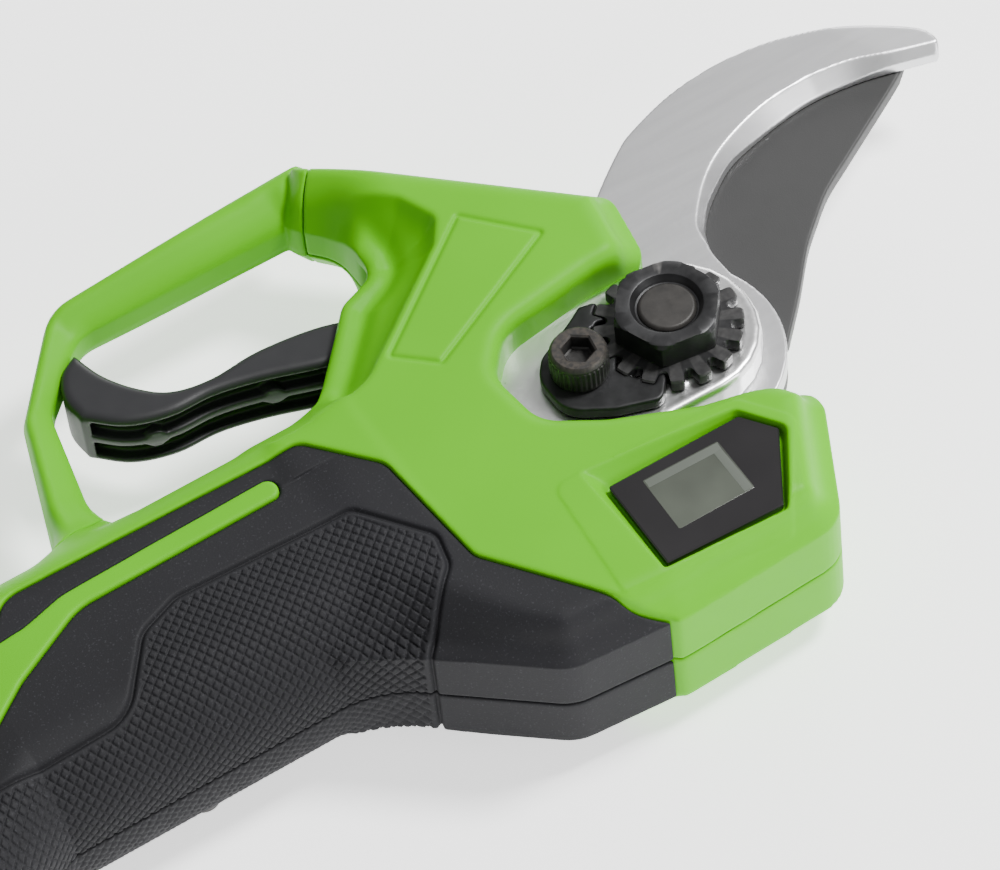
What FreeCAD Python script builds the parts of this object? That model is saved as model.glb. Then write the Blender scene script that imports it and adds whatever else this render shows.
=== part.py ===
# Battery electric pruner, lying on its side.
# +X runs along the handle towards the blade tip, +Y towards the trigger side, +Z is the blade pivot axis.
# The origin is the point where the pivot axis meets the floor that the tool lies on.
import FreeCAD, Part
import math
import os
import re
from FreeCAD import Placement, Rotation, Vector

os.makedirs("parts", exist_ok=True)
doc = FreeCAD.newDocument("battery_electric_pruner")

# ---------------------------------------------------------------- driving dimensions, millimetres

SIZES = {
    # housing
    "body_thick": 36.0, "parting": 18.0, "band": 5.5, "wall": 2.4, "grip_wall": 4.4,
    "rubber_step": 0.9, "rubber_thick": 1.5, "grip_half": 17.4, "palm_side": -28.5,
    "finger_side": 18.7, "palm_round": 15.0, "finger_round": 9.5, "foot_start": -132.0,
    "foot_end": -150.0, "foot_palm": -37.0, "foot_finger": 27.0, "foot_half": 16.5, "foot_round": 8.0,
    "window_depth": 2.4, "window_thick": 1.4, "slot_half": 6.6, "boss": 4.2, "boss_pilot": 1.1,
    "screw_hole": 1.6, "screw_head_hole": 3.05, "hub_room": 12.4, "cap_room": 11.0, "cap": 10.9,
    # cutting head
    "plate_low": 22.0, "plate_top": 28.0, "hub": 19.6, "drive_pin": 1.5, "drive_pin_at": 9.0,
    "hook_thick": 4.0, "blade_thick": 3.0, "blade_gap": 0.05, "fit": 0.05,
    "bolt": 5.0, "bolt_top": 35.2, "bolt_base": 3.2, "bolt_head": 9.0, "bolt_head_thick": 3.8,
    "bush": 6.5, "nut_flats": 17.0, "nut_thick": 5.0, "washer_thick": 2.5, "washer_tip": 12.8,
    "washer_root": 10.6, "washer_teeth": 16.0, "lock_thick": 2.5, "lock_at": -17.5,
    "screw_head": 5.0, "screw_head_tall": 6.0, "screw_shank": 3.0, "screw_deep": 8.0, "screw_hex": 5.0,
    # drive
    "pinion_teeth": 13.0, "sector_teeth": 56.0, "face_width": 6.0, "addendum": 0.75, "dedendum": 1.15,
    "sector_low": 8.0, "sector_hub": 11.4, "shaft": 4.0, "bearing": 9.5, "bearing_long": 7.0,
    "bearing_at": -44.0, "small_module": 0.45, "sun_teeth": 12.0, "planet_teeth": 18.0,
    "ring_teeth": 48.0, "ring_outer": 12.4, "gearbox_back": -61.0, "gearbox_front": -46.5,
    "planet_back": -57.0, "planet_long": 5.0, "carrier_front": -47.2, "carrier_thick": 3.0,
    "planet_pin": 1.1, "motor_front": -61.5, "motor_back": -103.0, "motor_outer": 12.5,
    "motor_wall": 1.0, "rotor_outer": 6.4, "stator_inner": 6.9, "rotor_shaft": 1.5,
    # trigger
    "trigger_half": 6.25, "trigger_pin_x": -38.0, "trigger_pin_y": 31.0, "trigger_pin": 1.5,
    "guard_half": 7.6,
    # battery and electronics
    "pack_front": -151.0, "pack_back": -231.0, "pack_half": 15.5, "pack_wall": 2.0, "cell": 9.25,
    "cell_long": 65.0, "cell_pitch": 19.4, "board_thick": 1.6, "latch_wide": 16.0,
    "button": 4.4, "button_x": -124.0, "button_y": -6.0,
}
sheet = doc.addObject("Spreadsheet::Sheet", "Sizes")
for row, (alias, value) in enumerate(SIZES.items(), start=1):
    sheet.set("A%d" % row, alias)
    sheet.set("B%d" % row, str(value))
    sheet.setAlias("B%d" % row, alias)
doc.recompute()


def size(alias):
    """A driving dimension, read from the sheet."""
    return float(sheet.get(alias))


def bind(item, prop, rule):
    """Give a property a number, or a rule written with the sheet's aliases."""
    rule = re.sub(r"[a-z]\w*", lambda word: "Sizes." + word.group(), str(rule))
    item.setExpression(prop, rule)


# ---------------------------------------------------------------- helpers

NODES = {}


def node(item, name):
    """Register a finished sub-part under its own name."""
    item.Label = name
    NODES[name] = item
    return item


def solid(name, shape):
    """A sub-part whose shape is worked out below from the sheet's sizes."""
    item = doc.addObject("Part::Feature", name)
    item.Shape = shape.Solids[0] if len(shape.Solids) == 1 else shape
    return node(item, name)


TURNS = {"Z": Rotation(), "X": Rotation(Vector(0, 1, 0), 90)}


def place(item, base, along):
    item.Placement = Placement(Vector(0, 0, 0), TURNS[along])
    for axis, rule in zip("xyz", base):
        bind(item, "Placement.Base." + axis, rule)
    return item


def rod(radius, length, base, along="Z"):
    """A cylinder along Z or X; its sizes are rules of the sheet."""
    item = doc.addObject("Part::Cylinder", "rod")
    bind(item, "Radius", radius)
    bind(item, "Height", length)
    return place(item, base, along)


def block(length, width, height, base):
    item = doc.addObject("Part::Box", "block")
    for prop, rule in zip(("Length", "Width", "Height"), (length, width, height)):
        bind(item, prop, rule)
    return place(item, base, "Z")


def prism(flats, height, base):
    """A hexagonal prism with a width across flats."""
    item = doc.addObject("Part::Prism", "prism")
    item.Polygon = 6
    bind(item, "Circumradius", "%s / 1.7320508" % flats)
    bind(item, "Height", height)
    return place(item, base, "Z")


def cut(base, tool):
    item = doc.addObject("Part::Cut", "cut")
    item.Base = base
    item.Tool = tool
    return item


def fuse(*items):
    item = doc.addObject("Part::MultiFuse", "fuse")
    item.Shapes = list(items)
    return item


def tube(outer, inner, length, base, along="Z"):
    return cut(rod(outer, length, base, along), rod(inner, length, base, along))


def rounded_edges(corners):
    """Lines and corner arcs of a closed outline; a corner is (x, y, radius)."""
    count = len(corners)
    tangents = []
    for i, (x, y, radius) in enumerate(corners):
        here = Vector(x, y, 0)
        back = Vector(*corners[i - 1][:2], 0) - here
        ahead = Vector(*corners[(i + 1) % count][:2], 0) - here
        half = back.getAngle(ahead) / 2
        reach = min(radius / math.tan(half), 0.48 * back.Length, 0.48 * ahead.Length)
        radius = reach * math.tan(half)
        back.normalize()
        ahead.normalize()
        middle = (back + ahead).normalize() * (radius / math.sin(half) - radius)
        tangents.append((here + back * reach, here + middle, here + ahead * reach))
    edges = []
    for i, (start, middle, end) in enumerate(tangents):
        edges.append(Part.LineSegment(tangents[i - 1][2], start))
        edges.append(Part.Arc(start, middle, end))
    return edges


def rounded_wire(corners, height):
    wire = Part.Wire([edge.toShape() for edge in rounded_edges(corners)])
    wire.translate(Vector(0, 0, height))
    return wire


def inset(corners, depth):
    """The outline moved inwards by depth; the corners run anticlockwise."""
    moved = []
    count = len(corners)
    for i, (x, y, radius) in enumerate(corners):
        into = Vector(x - corners[i - 1][0], y - corners[i - 1][1], 0).normalize()
        out = Vector(corners[(i + 1) % count][0] - x, corners[(i + 1) % count][1] - y, 0).normalize()
        shift = (Vector(-into.y, into.x, 0) + Vector(-out.y, out.x, 0)) * (depth / (1 + into.dot(out)))
        convex = into.cross(out).z > 0
        moved.append((x + shift.x, y + shift.y, max(0.5, radius - depth if convex else radius + depth)))
    return moved


def slab(corners, low, high):
    """A flat solid between two heights with a rounded outline."""
    return Part.Face(rounded_wire(corners, low)).extrude(Vector(0, 0, high - low))


def plate(name, edges, low, thick):
    """A PartDesign body: one closed sketch on the XY plane, padded upwards."""
    body = doc.addObject("PartDesign::Body", name)
    sketch = body.newObject("Sketcher::SketchObject", name + "_outline")
    plane = [f for f in body.Origin.OriginFeatures if f.Role == "XY_Plane"][0]
    sketch.AttachmentSupport = (plane, [""])
    sketch.MapMode = "FlatFace"
    bind(sketch, "AttachmentOffset.Base.z", low)
    sketch.addGeometry(edges, False)
    pad = body.newObject("PartDesign::Pad", name + "_pad")
    pad.Profile = sketch
    bind(pad, "Length", thick)
    body.Tip = pad
    return body


def ring_of_holes(edges, holes):
    """An outline with round holes (x, y, radius) in it."""
    up = Vector(0, 0, 1)
    return edges + [Part.Circle(Vector(x, y, 0), up, radius) for x, y, radius in holes]


def arc(start, middle, end):
    return Part.Arc(*[Vector(x, y, 0) for x, y in (start, middle, end)])


def line(start, end):
    return Part.LineSegment(Vector(*start, 0), Vector(*end, 0))


def on_circle(radius, degrees):
    return (radius * math.cos(math.radians(degrees)), radius * math.sin(math.radians(degrees)))


# ---------------------------------------------------------------- housing outlines, seen from above
# Each corner is (x, y, radius), anticlockwise from the front corner on the display side.

PARTING = [
    (12.8, -27.5, 4), (8.0, -19.0, 2), (5.0, 15.0, 3), (6.9, 29.5, 4), (-35.0, 69.5, 4),
    (-41.0, 60.0, 3), (-34.5, 52.0, 6), (-34.5, 40.5, 4), (-42.5, 37.5, 4), (-57.0, 20.5, 6),
    (-63.0, 17.0, 3), (-72.0, 17.0, 2), (-80.0, -27.0, 2), (-71.0, -32.2, 12), (-50.5, -49.3, 10),
    (-30.0, -51.3, 20), (0.8, -50.2, 6)]
TOP = [
    (8.2, -28.4, 3), (4.4, -22.2, 2), (2.3, 13.0, 3), (2.2, 26.8, 3), (-34.8, 62.2, 3),
    (-36.5, 57.0, 2), (-23.6, 43.6, 4), (-20.8, 38.5, 3), (-24.4, 34.2, 4), (-50.0, 15.6, 9),
    (-60.0, 13.0, 5), (-70.0, 12.0, 2), (-77.0, -20.0, 2), (-68.0, -26.6, 12), (-48.8, -44.6, 9),
    (-29.0, -46.4, 18), (-2.6, -46.2, 4)]
LOWER_PARTING = PARTING[:2] + [(15.6, -12.0, 9), (15.6, 11.0, 9)] + PARTING[3:]
LOWER_TOP = TOP[:2] + [(14.4, -11.5, 8), (14.4, 10.5, 8)] + TOP[3:]
NOTCH = [
    (30.0, -22.8, 1), (4.0, -22.6, 3), (-6.0, -20.4, 9), (-20.0, -13.8, 14), (-30.0, -6.5, 7),
    (-30.6, 5.5, 6), (-24.0, 11.8, 8), (-6.0, 14.3, 9), (30.0, 14.6, 1)]
WINDOW = [(-2.6, -25.6, 1), (1.7, -31.7, 1), (-6.4, -45.0, 1), (-28.7, -44.2, 1), (-28.5, -25.6, 1)]
RUBBER = [
    (-121.0, 11.0, 4), (-127.0, 4.0, 20), (-137.0, -12.0, 12), (-147.5, -26.0, 2), (-147.5, -60.0, 1),
    (-31.0, -60.0, 1), (-31.2, -51.0, 2), (-38.2, -46.3, 3), (-53.6, -25.0, 4), (-55.7, -1.0, 5),
    (-65.5, 10.8, 3), (-112.0, 11.6, 6)]
STRIPE = [
    (-66.6, 3.7, 1.9), (-66.6, 7.7, 1.9), (-98.0, 7.0, 30), (-113.0, 6.6, 10), (-127.0, 2.2, 8),
    (-134.0, 4.0, 1), (-138.0, -12.0, 1), (-126.5, -4.0, 8), (-112.0, 3.2, 10)]


def cross_section(palm, finger, half, palm_round, finger_round, where):
    """A rounded rectangle across the handle at x = where."""
    corners = [(palm, -half, palm_round), (finger, -half, finger_round),
               (finger, half, finger_round), (palm, half, palm_round)]
    wire = Part.Wire([edge.toShape() for edge in rounded_edges(corners)])
    upright = Rotation(Vector(0, 1, 0), Vector(0, 0, 1), Vector(1, 0, 0), "ZXY")
    wire.Placement = Placement(Vector(where, 0, size("parting")), upright)
    return wire


def grip_form(depth):
    """The whole handle and its flared foot, moved inwards by depth."""
    palm = size("palm_side") + depth
    finger = size("finger_side") - depth
    half = size("grip_half") - depth
    rounds = (max(1.0, size("palm_round") - depth), max(1.0, size("finger_round") - depth))
    front = cross_section(palm, finger, half, *rounds, -62.0)
    start = cross_section(palm, finger, half, *rounds, size("foot_start"))
    foot = cross_section(size("foot_palm") + depth, size("foot_finger") - depth, size("foot_half") - depth,
                         size("foot_round") - depth / 2, size("foot_round") - depth / 2, size("foot_end"))
    handle = Part.Face(front).extrude(Vector(size("foot_start") + 62.0, 0, 0))
    return handle.fuse(Part.makeLoft([start, foot], True, True))


def half_form(depth, grip_depth, parting, roof):
    """The outside of the upper half, moved inwards: body block plus handle."""
    middle = size("parting")
    shoulder = middle + size("band")
    top = size("body_thick")
    base = inset(parting, depth)
    band = slab(base, middle, shoulder)
    slope = Part.makeLoft([rounded_wire(base, shoulder), rounded_wire(inset(roof, depth), top - depth)],
                          True, True)
    upper_space = Part.makeBox(400, 400, 60, Vector(-300, -200, middle))
    return band.fuse(slope).fuse(grip_form(grip_depth).common(upper_space)).removeSplitter()


def hollow_form(depth, grip_depth, parting, roof):
    """The space inside the upper half; its side walls stand upright."""
    ceiling = size("body_thick") - size("wall")
    head_room = [corner for corner in roof if corner != TOP[5]]
    floor_space = slab(inset(parting, depth), size("parting"), size("parting") + size("band"))
    upper_space = Part.makeBox(400, 400, 60, Vector(-300, -200, size("parting")))
    room = floor_space.fuse(slab(inset(head_room, size("wall")), size("parting"), ceiling))
    return room.fuse(grip_form(grip_depth).common(upper_space))


def lower(shape):
    """The upper half's shape turned into the lower half's."""
    return shape.mirror(Vector(0, 0, size("parting")), Vector(0, 0, 1))


BOSSES = [(-14.0, 42.0), (-37.0, -29.0), (-62.0, -26.0), (-106.0, -20.3)]
middle = size("parting")
top = size("body_thick")
rubber_step = size("rubber_step")
rubber_deep = rubber_step + size("rubber_thick")


def forms(parting, roof):
    """Outside, rubber face, rubber seat and hollow of one half, all drawn as an upper half."""
    return (half_form(0, 0, parting, roof), half_form(rubber_step, rubber_step, parting, roof),
            half_form(rubber_deep, rubber_deep, parting, roof),
            hollow_form(size("wall") + rubber_step, size("grip_wall"), parting, roof))


rubber_zone = slab(RUBBER, middle, top + 5)
stripe_zone = slab(STRIPE, middle + 8, top + 5)
upper_zone = rubber_zone.cut(stripe_zone)
foot_opening = Part.makeBox(10, 56, 27, Vector(size("foot_end") - 1, -33, middle - 13.5))
trigger_slot = slab([(-30, 41, 1), (-36, 46, 1), (-60, 46, 1), (-60, 24, 1), (-48, 22, 1), (-30, 24, 1)],
                    middle - size("slot_half"), middle + size("slot_half"))
blade_sweep = Part.makeCylinder(size("hub") + 0.9, 8.3, Vector(0, 0, middle - 4.0))
front_gap = slab([(-8, -21, 1), (30, -21, 1), (30, 35.5, 1), (4.5, 35.5, 1), (-14, 21, 1)],
                 middle - 4.0, middle + 4.3)
cut_outs = trigger_slot.fuse(blade_sweep).fuse(front_gap).fuse(foot_opening)


def bosses(low, high, outer):
    posts = [Part.makeCylinder(outer, high - low, Vector(x, y, low)) for x, y in BOSSES]
    return posts[0].multiFuse(posts[1:])


trigger_post = Part.makeCylinder(3.4, 12, Vector(size("trigger_pin_x"), size("trigger_pin_y"), 0))
pin_hole = Part.makeCylinder(size("trigger_pin") + size("fit"), 20,
                             Vector(size("trigger_pin_x"), size("trigger_pin_y"), middle - 10))


def half_shell(zone, outside, seat, hollow):
    """One housing half: green outside, a lowered seat under the rubber and a hollow inside."""
    shell = outside.cut(zone).fuse(seat).cut(hollow)
    post_room = seat.common(bosses(middle, top, size("boss")).fuse(
        trigger_post.translated(Vector(0, 0, middle + size("slot_half") + 0.2))))
    return shell.fuse(post_room)


# Upper half: open round the blade lock, with a window for the display.
window_ledge = slab(inset(WINDOW, 1.6), middle, top)
outside, rubber_face, rubber_seat, hollow = forms(PARTING, TOP)
upper = half_shell(upper_zone, outside, rubber_seat, hollow)
upper = upper.cut(slab(NOTCH, middle, top + 1)).cut(cut_outs).cut(pin_hole)
upper = upper.cut(slab(WINDOW, top - size("window_depth"), top + 1)).cut(window_ledge)
upper = upper.cut(bosses(middle - 1, middle + 9, size("boss_pilot")))
solid("upper_shell", upper.removeSplitter())
solid("upper_grip_cover", rubber_face.cut(rubber_seat).common(upper_zone).removeSplitter())

# Lower half: closed under the blades, with countersunk holes for the housing screws.
outside, rubber_face, rubber_seat, hollow = forms(LOWER_PARTING, LOWER_TOP)
under = lower(half_shell(rubber_zone, outside, rubber_seat, hollow)).cut(cut_outs).cut(pin_hole)
hub_room = Part.makeCylinder(size("hub_room"), middle, Vector(0, 0, size("wall")))
under = under.cut(hub_room)
under = under.cut(bosses(-1, middle + 1, size("screw_hole")))
under = under.cut(bosses(-1, 5.0, size("screw_head_hole")))
button_hole = Part.makeCylinder(size("button") + 0.2, 10, Vector(size("button_x"), size("button_y"), -1))
under = under.cut(Part.makeCylinder(size("cap_room"), 10, Vector(0, 0, -1))).cut(button_hole)
solid("lower_shell", under.removeSplitter())
solid("lower_grip_cover", lower(rubber_face.cut(rubber_seat).common(rubber_zone))
      .cut(bosses(-1, middle, size("screw_head_hole") + size("fit"))).cut(button_hole).removeSplitter())

# A round steel cap closes the bolt's access hole and is the face that the tool rests on.
node(fuse(rod("cap", "1.6", (0, 0, "0")), tube("cap", "cap - 1.3", "1.4", (0, 0, "1.6"))), "pivot_cap")

for index, (x, y) in enumerate(BOSSES, start=1):
    screw = fuse(rod("2.9", "2", (x, y, "3")), rod("1.05", "18", (x, y, "5")))
    socket = prism("2.5", "1.2", (x, y, "3"))
    node(cut(screw, socket), "housing_screw_%d" % index)

# ---------------------------------------------------------------- trigger guard

guard_outline = [
    (-35.2, 69.5, 0.5), (-83.5, 66.8, 9), (-98.5, 49.0, 7), (-104.8, 30.0, 16), (-108.5, 18.9, 1),
    (-94.5, 18.9, 1), (-97.2, 29.0, 10), (-93.0, 49.5, 7), (-81.0, 60.6, 7), (-41.2, 60.1, 0.5)]
guard_edge = size("guard_half") - 2.4
guard_face = rounded_wire(inset(guard_outline, 1.7), middle + size("guard_half"))
guard_bevel = Part.makeLoft([rounded_wire(guard_outline, middle + guard_edge), guard_face], True, True)
guard = slab(guard_outline, middle, middle + guard_edge).fuse(guard_bevel)
solid("trigger_guard", guard.fuse(lower(guard)).removeSplitter())

# ---------------------------------------------------------------- cutting head

head_outline = [
    (15.5, -14.6, 14.5), (15.5, 14.6, 14.5), (-19.0, 14.6, 4), (-27.0, 17.0, 3), (-46.0, 17.0, 3),
    (-46.0, -21.0, 3), (-27.0, -21.0, 3), (-19.0, -14.6, 4)]
head_plate = plate("head_plate", rounded_edges(head_outline), "plate_low", "plate_top - plate_low")
bearing_block = block("12", "24", "plate_low - 6", (-46, -12, "6"))
casting = fuse(head_plate, bearing_block)
casting = cut(casting, rod("bolt + fit", 10, (0, 0, 20)))
casting = cut(casting, rod("screw_shank + fit", 10, ("lock_at", 0, "22.3")))
casting = cut(casting, rod("bearing + 0.02", "bearing_long", ("bearing_at", 0, "parting"), "X"))
casting = cut(casting, rod("7.8", 10, ("0 - 31", 0, "parting"), "X"))
node(cut(casting, rod("5.5", 20, ("0 - 50", 0, "parting"), "X")), "head_casting")

hub = size("hub")
hook_edges = [
    arc((4.5, 32.5), (18.5, 44.0), (38.0, 49.1)), arc((38.0, 49.1), (58.5, 46.3), (75.0, 34.6)),
    arc((75.0, 34.6), (75.9, 32.2), (74.6, 29.8)), arc((74.6, 29.8), (60.5, 33.7), (45.3, 34.0)),
    arc((45.3, 34.0), (29.8, 29.4), (19.7, 20.0)), arc((19.7, 20.0), (17.4, 14.8), on_circle(hub, 25)),
    arc(on_circle(hub, 25), on_circle(hub, -70), on_circle(hub, -165)),
    line(on_circle(hub, -165), on_circle(hub, 165)), line(on_circle(hub, 165), (-9.0, 21.0)),
    line((-9.0, 21.0), (4.5, 32.5))]
hook_holes = [(0, 0, size("bolt") + size("fit"))]
hook = plate("hook_plate", ring_of_holes(hook_edges, hook_holes), "parting", "hook_thick")
node(cut(hook, rod("screw_shank + fit", 10, ("lock_at", 0, "parting - 3"))), "hook_blade")

blade_hub = hub - 0.1
blade_edges = [
    arc((70.5, 33.2), (56.3, 24.6), (43.0, 17.0)), arc((43.0, 17.0), (33.0, 8.6), (21.0, -4.6)),
    line((21.0, -4.6), on_circle(blade_hub, -22)),
    arc(on_circle(blade_hub, -22), on_circle(blade_hub, -120), on_circle(blade_hub, 145)),
    line(on_circle(blade_hub, 145), on_circle(blade_hub, 70)),
    arc(on_circle(blade_hub, 70), (18.0, 24.0), (31.0, 33.0)), arc((31.0, 33.0), (49.0, 38.2), (70.5, 33.2))]
blade_low = "parting - blade_gap - blade_thick"
pins = [on_circle(size("drive_pin_at"), angle) for angle in (200, 80, 320)]
holes = [(0, 0, size("bush") + size("fit"))] + [(x, y, size("drive_pin")) for x, y in pins]
node(plate("cutting_blade", ring_of_holes(blade_edges, holes), blade_low, "blade_thick"), "cutting_blade")

node(tube("bush", "bolt + 0.01", "parting - sector_low", (0, 0, "sector_low")), "pivot_bush")
bolt_parts = fuse(rod("bolt", "bolt_top - bolt_base", (0, 0, "bolt_base")),
                  rod("bolt_head", "bolt_head_thick", (0, 0, "bolt_base")))
node(cut(bolt_parts, prism("8", "2.4", (0, 0, "bolt_base"))), "pivot_bolt")
node(tube("11", "bolt + fit", "sector_low - bolt_base - bolt_head_thick - blade_gap",
          (0, 0, "bolt_base + bolt_head_thick")), "thrust_washer")

# Toothed lock washer: one gap, repeated round the pivot.
washer = doc.addObject("PartDesign::Body", "washer")
washer_plane = [f for f in washer.Origin.OriginFeatures if f.Role == "XY_Plane"][0]


def washer_sketch(name, edges):
    sketch = washer.newObject("Sketcher::SketchObject", name)
    sketch.AttachmentSupport = (washer_plane, [""])
    sketch.MapMode = "FlatFace"
    bind(sketch, "AttachmentOffset.Base.z", "plate_top")
    sketch.addGeometry(edges, False)
    return sketch


up = Vector(0, 0, 1)
disc = washer.newObject("PartDesign::Pad", "washer_disc")
disc.Profile = washer_sketch("washer_round", [Part.Circle(Vector(), up, size("washer_tip")),
                                              Part.Circle(Vector(), up, size("bolt") + size("fit"))])
bind(disc, "Length", "washer_thick")
gap = washer.newObject("PartDesign::Pocket", "washer_gap")
gap_width = 0.27 * 2 * math.pi * size("washer_tip") / size("washer_teeth")
gap_root = size("washer_root")
gap.Profile = washer_sketch("washer_gap_outline", [
    line((14.0, -gap_width), (gap_root + gap_width * 0.7, -gap_width * 0.8)),
    arc((gap_root + gap_width * 0.7, -gap_width * 0.8), (gap_root, 0),
        (gap_root + gap_width * 0.7, gap_width * 0.8)),
    line((gap_root + gap_width * 0.7, gap_width * 0.8), (14.0, gap_width)),
    line((14.0, gap_width), (14.0, -gap_width))])
gap.Type = "ThroughAll"
gap.Reversed = True
doc.recompute()
gaps = washer.newObject("PartDesign::PolarPattern", "washer_gaps")
gaps.Originals = [gap]
gaps.Axis = ([f for f in washer.Origin.OriginFeatures if f.Role == "Z_Axis"][0], [""])
gaps.Angle = 360
gaps.Occurrences = int(size("washer_teeth"))
washer.Tip = gaps
node(washer, "lock_washer")

nut_low = "plate_top + washer_thick"
nut_cone = doc.addObject("Part::Cone", "nut_chamfer")
bind(nut_cone, "Radius1", "nut_flats / 2 + 4.2")
bind(nut_cone, "Radius2", "nut_flats / 2 + 0.1")
bind(nut_cone, "Height", "nut_thick")
place(nut_cone, (0, 0, nut_low), "Z")
nut = doc.addObject("Part::Common", "nut_outside")
nut.Base = prism("nut_flats", "nut_thick", (0, 0, nut_low))
nut.Tool = nut_cone
node(cut(nut, rod("bolt + 0.02", 10, (0, 0, "plate_top"))), "pivot_nut")

# Lock plate: an ear round its screw and two wings that reach along the washer.
clear = size("washer_tip") + 0.35
lock_edges = [
    arc(on_circle(clear, 128), on_circle(clear, 180), on_circle(clear, 233)),
    line(on_circle(clear, 233), (-9.2, -12.6)), arc((-9.2, -12.6), (-10.2, -13.7), (-12.0, -13.2)),
    line((-12.0, -13.2), (-20.5, -7.6)), arc((-20.5, -7.6), (-25.6, -0.3), (-21.0, 7.2)),
    line((-21.0, 7.2), (-12.5, 12.6)), arc((-12.5, 12.6), (-10.0, 12.9), on_circle(clear, 128))]
lock_holes = [(size("lock_at"), 0, size("screw_shank") + size("fit"))]
lock = plate("lock_outline", ring_of_holes(lock_edges, lock_holes), "plate_top", "lock_thick")
node(lock, "lock_plate")
head_low = "plate_top + lock_thick"
screw = fuse(rod("screw_head", "screw_head_tall", ("lock_at", 0, head_low)),
             rod("screw_shank", "screw_deep", ("lock_at", 0, head_low + " - screw_deep")))
node(cut(screw, prism("screw_hex", 4, ("lock_at", 0, head_low + " + screw_head_tall - 3"))), "lock_screw")

# ---------------------------------------------------------------- bevel drive, apex on the pivot axis
apex = Vector(0, 0, size("parting"))
gear_radius = size("sector_teeth") / 2
pinion_radius = size("pinion_teeth") / 2
inner_share = 1 - size("face_width") / gear_radius


def shrunk(points):
    """Wires of a tapering tooth: at the large end and nearer to the apex."""
    near = [apex + (point - apex) * inner_share for point in points]
    return [Part.makePolygon(points + points[:1]), Part.makePolygon(near + near[:1])]


def tooth(radius, height, spin):
    """One sector tooth at the large end: pitch point at (radius, height above the floor)."""
    root, tip = 0.95, 0.4
    low, high = height - size("dedendum") - 0.3, height + size("addendum")
    points = [Vector(radius, -root, low), Vector(radius, root, low), Vector(radius, tip, high),
              Vector(radius, -tip, high)]
    shape = Part.makeLoft(shrunk(points), True, True)
    shape.rotate(apex, Vector(0, 0, 1), spin)
    return shape


pitch_height = size("parting") - pinion_radius
tooth_step = 360 / size("sector_teeth")
slope = (size("parting") - pitch_height + size("dedendum")) / gear_radius
inner = gear_radius * inner_share
rim_section = [
    (size("hub") - 6, size("sector_low")), (gear_radius + 0.5, size("sector_low")),
    (gear_radius + 0.5, size("parting") - slope * (gear_radius + 0.5)),
    (inner - 0.5, size("parting") - slope * (inner - 0.5)), (inner - 0.5, size("sector_low") + 2.5),
    (size("hub") - 6, size("sector_low") + 2.5), (size("hub") - 6, size("sector_low"))]
rim = Part.Face(Part.makePolygon([Vector(x, 0, z) for x, z in rim_section]))
rim_start, rim_steps = 170.0, 10
rim = rim.revolve(Vector(), Vector(0, 0, 1), (rim_steps + 1) * tooth_step)
rim.rotate(Vector(), Vector(0, 0, 1), rim_start)
first_tooth = 180.0 - tooth_step
sector = rim.multiFuse([tooth(gear_radius, pitch_height, first_tooth + step * tooth_step)
                        for step in range(rim_steps)])
blade_under = size("parting") - size("blade_gap") - size("blade_thick")
sector = sector.fuse(Part.makeCylinder(size("sector_hub"), blade_under - size("sector_low"),
                                       Vector(0, 0, size("sector_low"))))
sector = sector.cut(Part.makeCylinder(size("bush") + size("fit"), 20, Vector(0, 0, 0)))
for x, y in pins:
    sector = sector.cut(Part.makeCylinder(size("drive_pin"), 20, Vector(x, y, size("sector_low") + 1)))
solid("blade_gear", sector.removeSplitter())
for index, (x, y) in enumerate(pins, start=1):
    node(rod("drive_pin", "parting - blade_gap - sector_low - 1", (x, y, "sector_low + 1")),
         "drive_pin_%d" % index)


def pinion_tooth(spin):
    points = []
    for across, out in ((0.42, size("addendum")), (0.95, -size("dedendum") - 0.4)):
        level = size("parting") + pinion_radius + out
        points += [Vector(-gear_radius, across, level), Vector(-gear_radius, -across, level)]
    points = [points[0], points[1], points[3], points[2]]
    shape = Part.makeLoft(shrunk(points), True, True)
    shape.rotate(apex, Vector(1, 0, 0), spin)
    return shape


pinion_root = pinion_radius - size("dedendum")
core = Part.makeCone(pinion_root, pinion_root * inner_share, size("face_width"),
                     Vector(-gear_radius, 0, size("parting")), Vector(1, 0, 0))
pinion_step = 360 / size("pinion_teeth")
teeth = [pinion_tooth(180 + (step + 0.5) * pinion_step) for step in range(int(size("pinion_teeth")))]
shaft_back = size("carrier_front") - size("carrier_thick")
pinion = core.multiFuse(teeth + [
    Part.makeCylinder(size("shaft"), -gear_radius - size("carrier_front") + 0.5,
                      Vector(size("carrier_front") - 0.5, 0, size("parting")), Vector(1, 0, 0)),
    Part.makeCylinder(10.0, size("carrier_thick"), Vector(shaft_back, 0, size("parting")), Vector(1, 0, 0))])
solid("pinion_shaft", pinion.removeSplitter())
node(tube("bearing", "shaft + fit", "bearing_long", ("bearing_at", 0, "parting"), "X"), "pinion_bearing")

# ---------------------------------------------------------------- planetary gearbox and motor


def gear_face(teeth, module, turn, outwards=1.0):
    """A toothed outline in the YZ plane; outwards is -1 for a ring's inner teeth."""
    points = []
    pitch = teeth * module / 2
    step = 2 * math.pi / teeth
    for index in range(int(teeth)):
        for share, out in ((-0.28, -1.1), (-0.13, 0.8), (0.13, 0.8), (0.28, -1.1)):
            angle = math.radians(turn) + (index + share) * step
            radius = pitch + outwards * out * module
            points.append(Vector(0, radius * math.cos(angle), radius * math.sin(angle)))
    return Part.Face(Part.makePolygon(points + points[:1]))


def along_x(face, start, length, y=0.0, z=0.0):
    return face.translated(Vector(start, y, size("parting") + z)).extrude(Vector(length, 0, 0))


def x_rod(radius, start, length, y=0.0, z=0.0):
    return Part.makeCylinder(radius, length, Vector(start, y, size("parting") + z), Vector(1, 0, 0))


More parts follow.
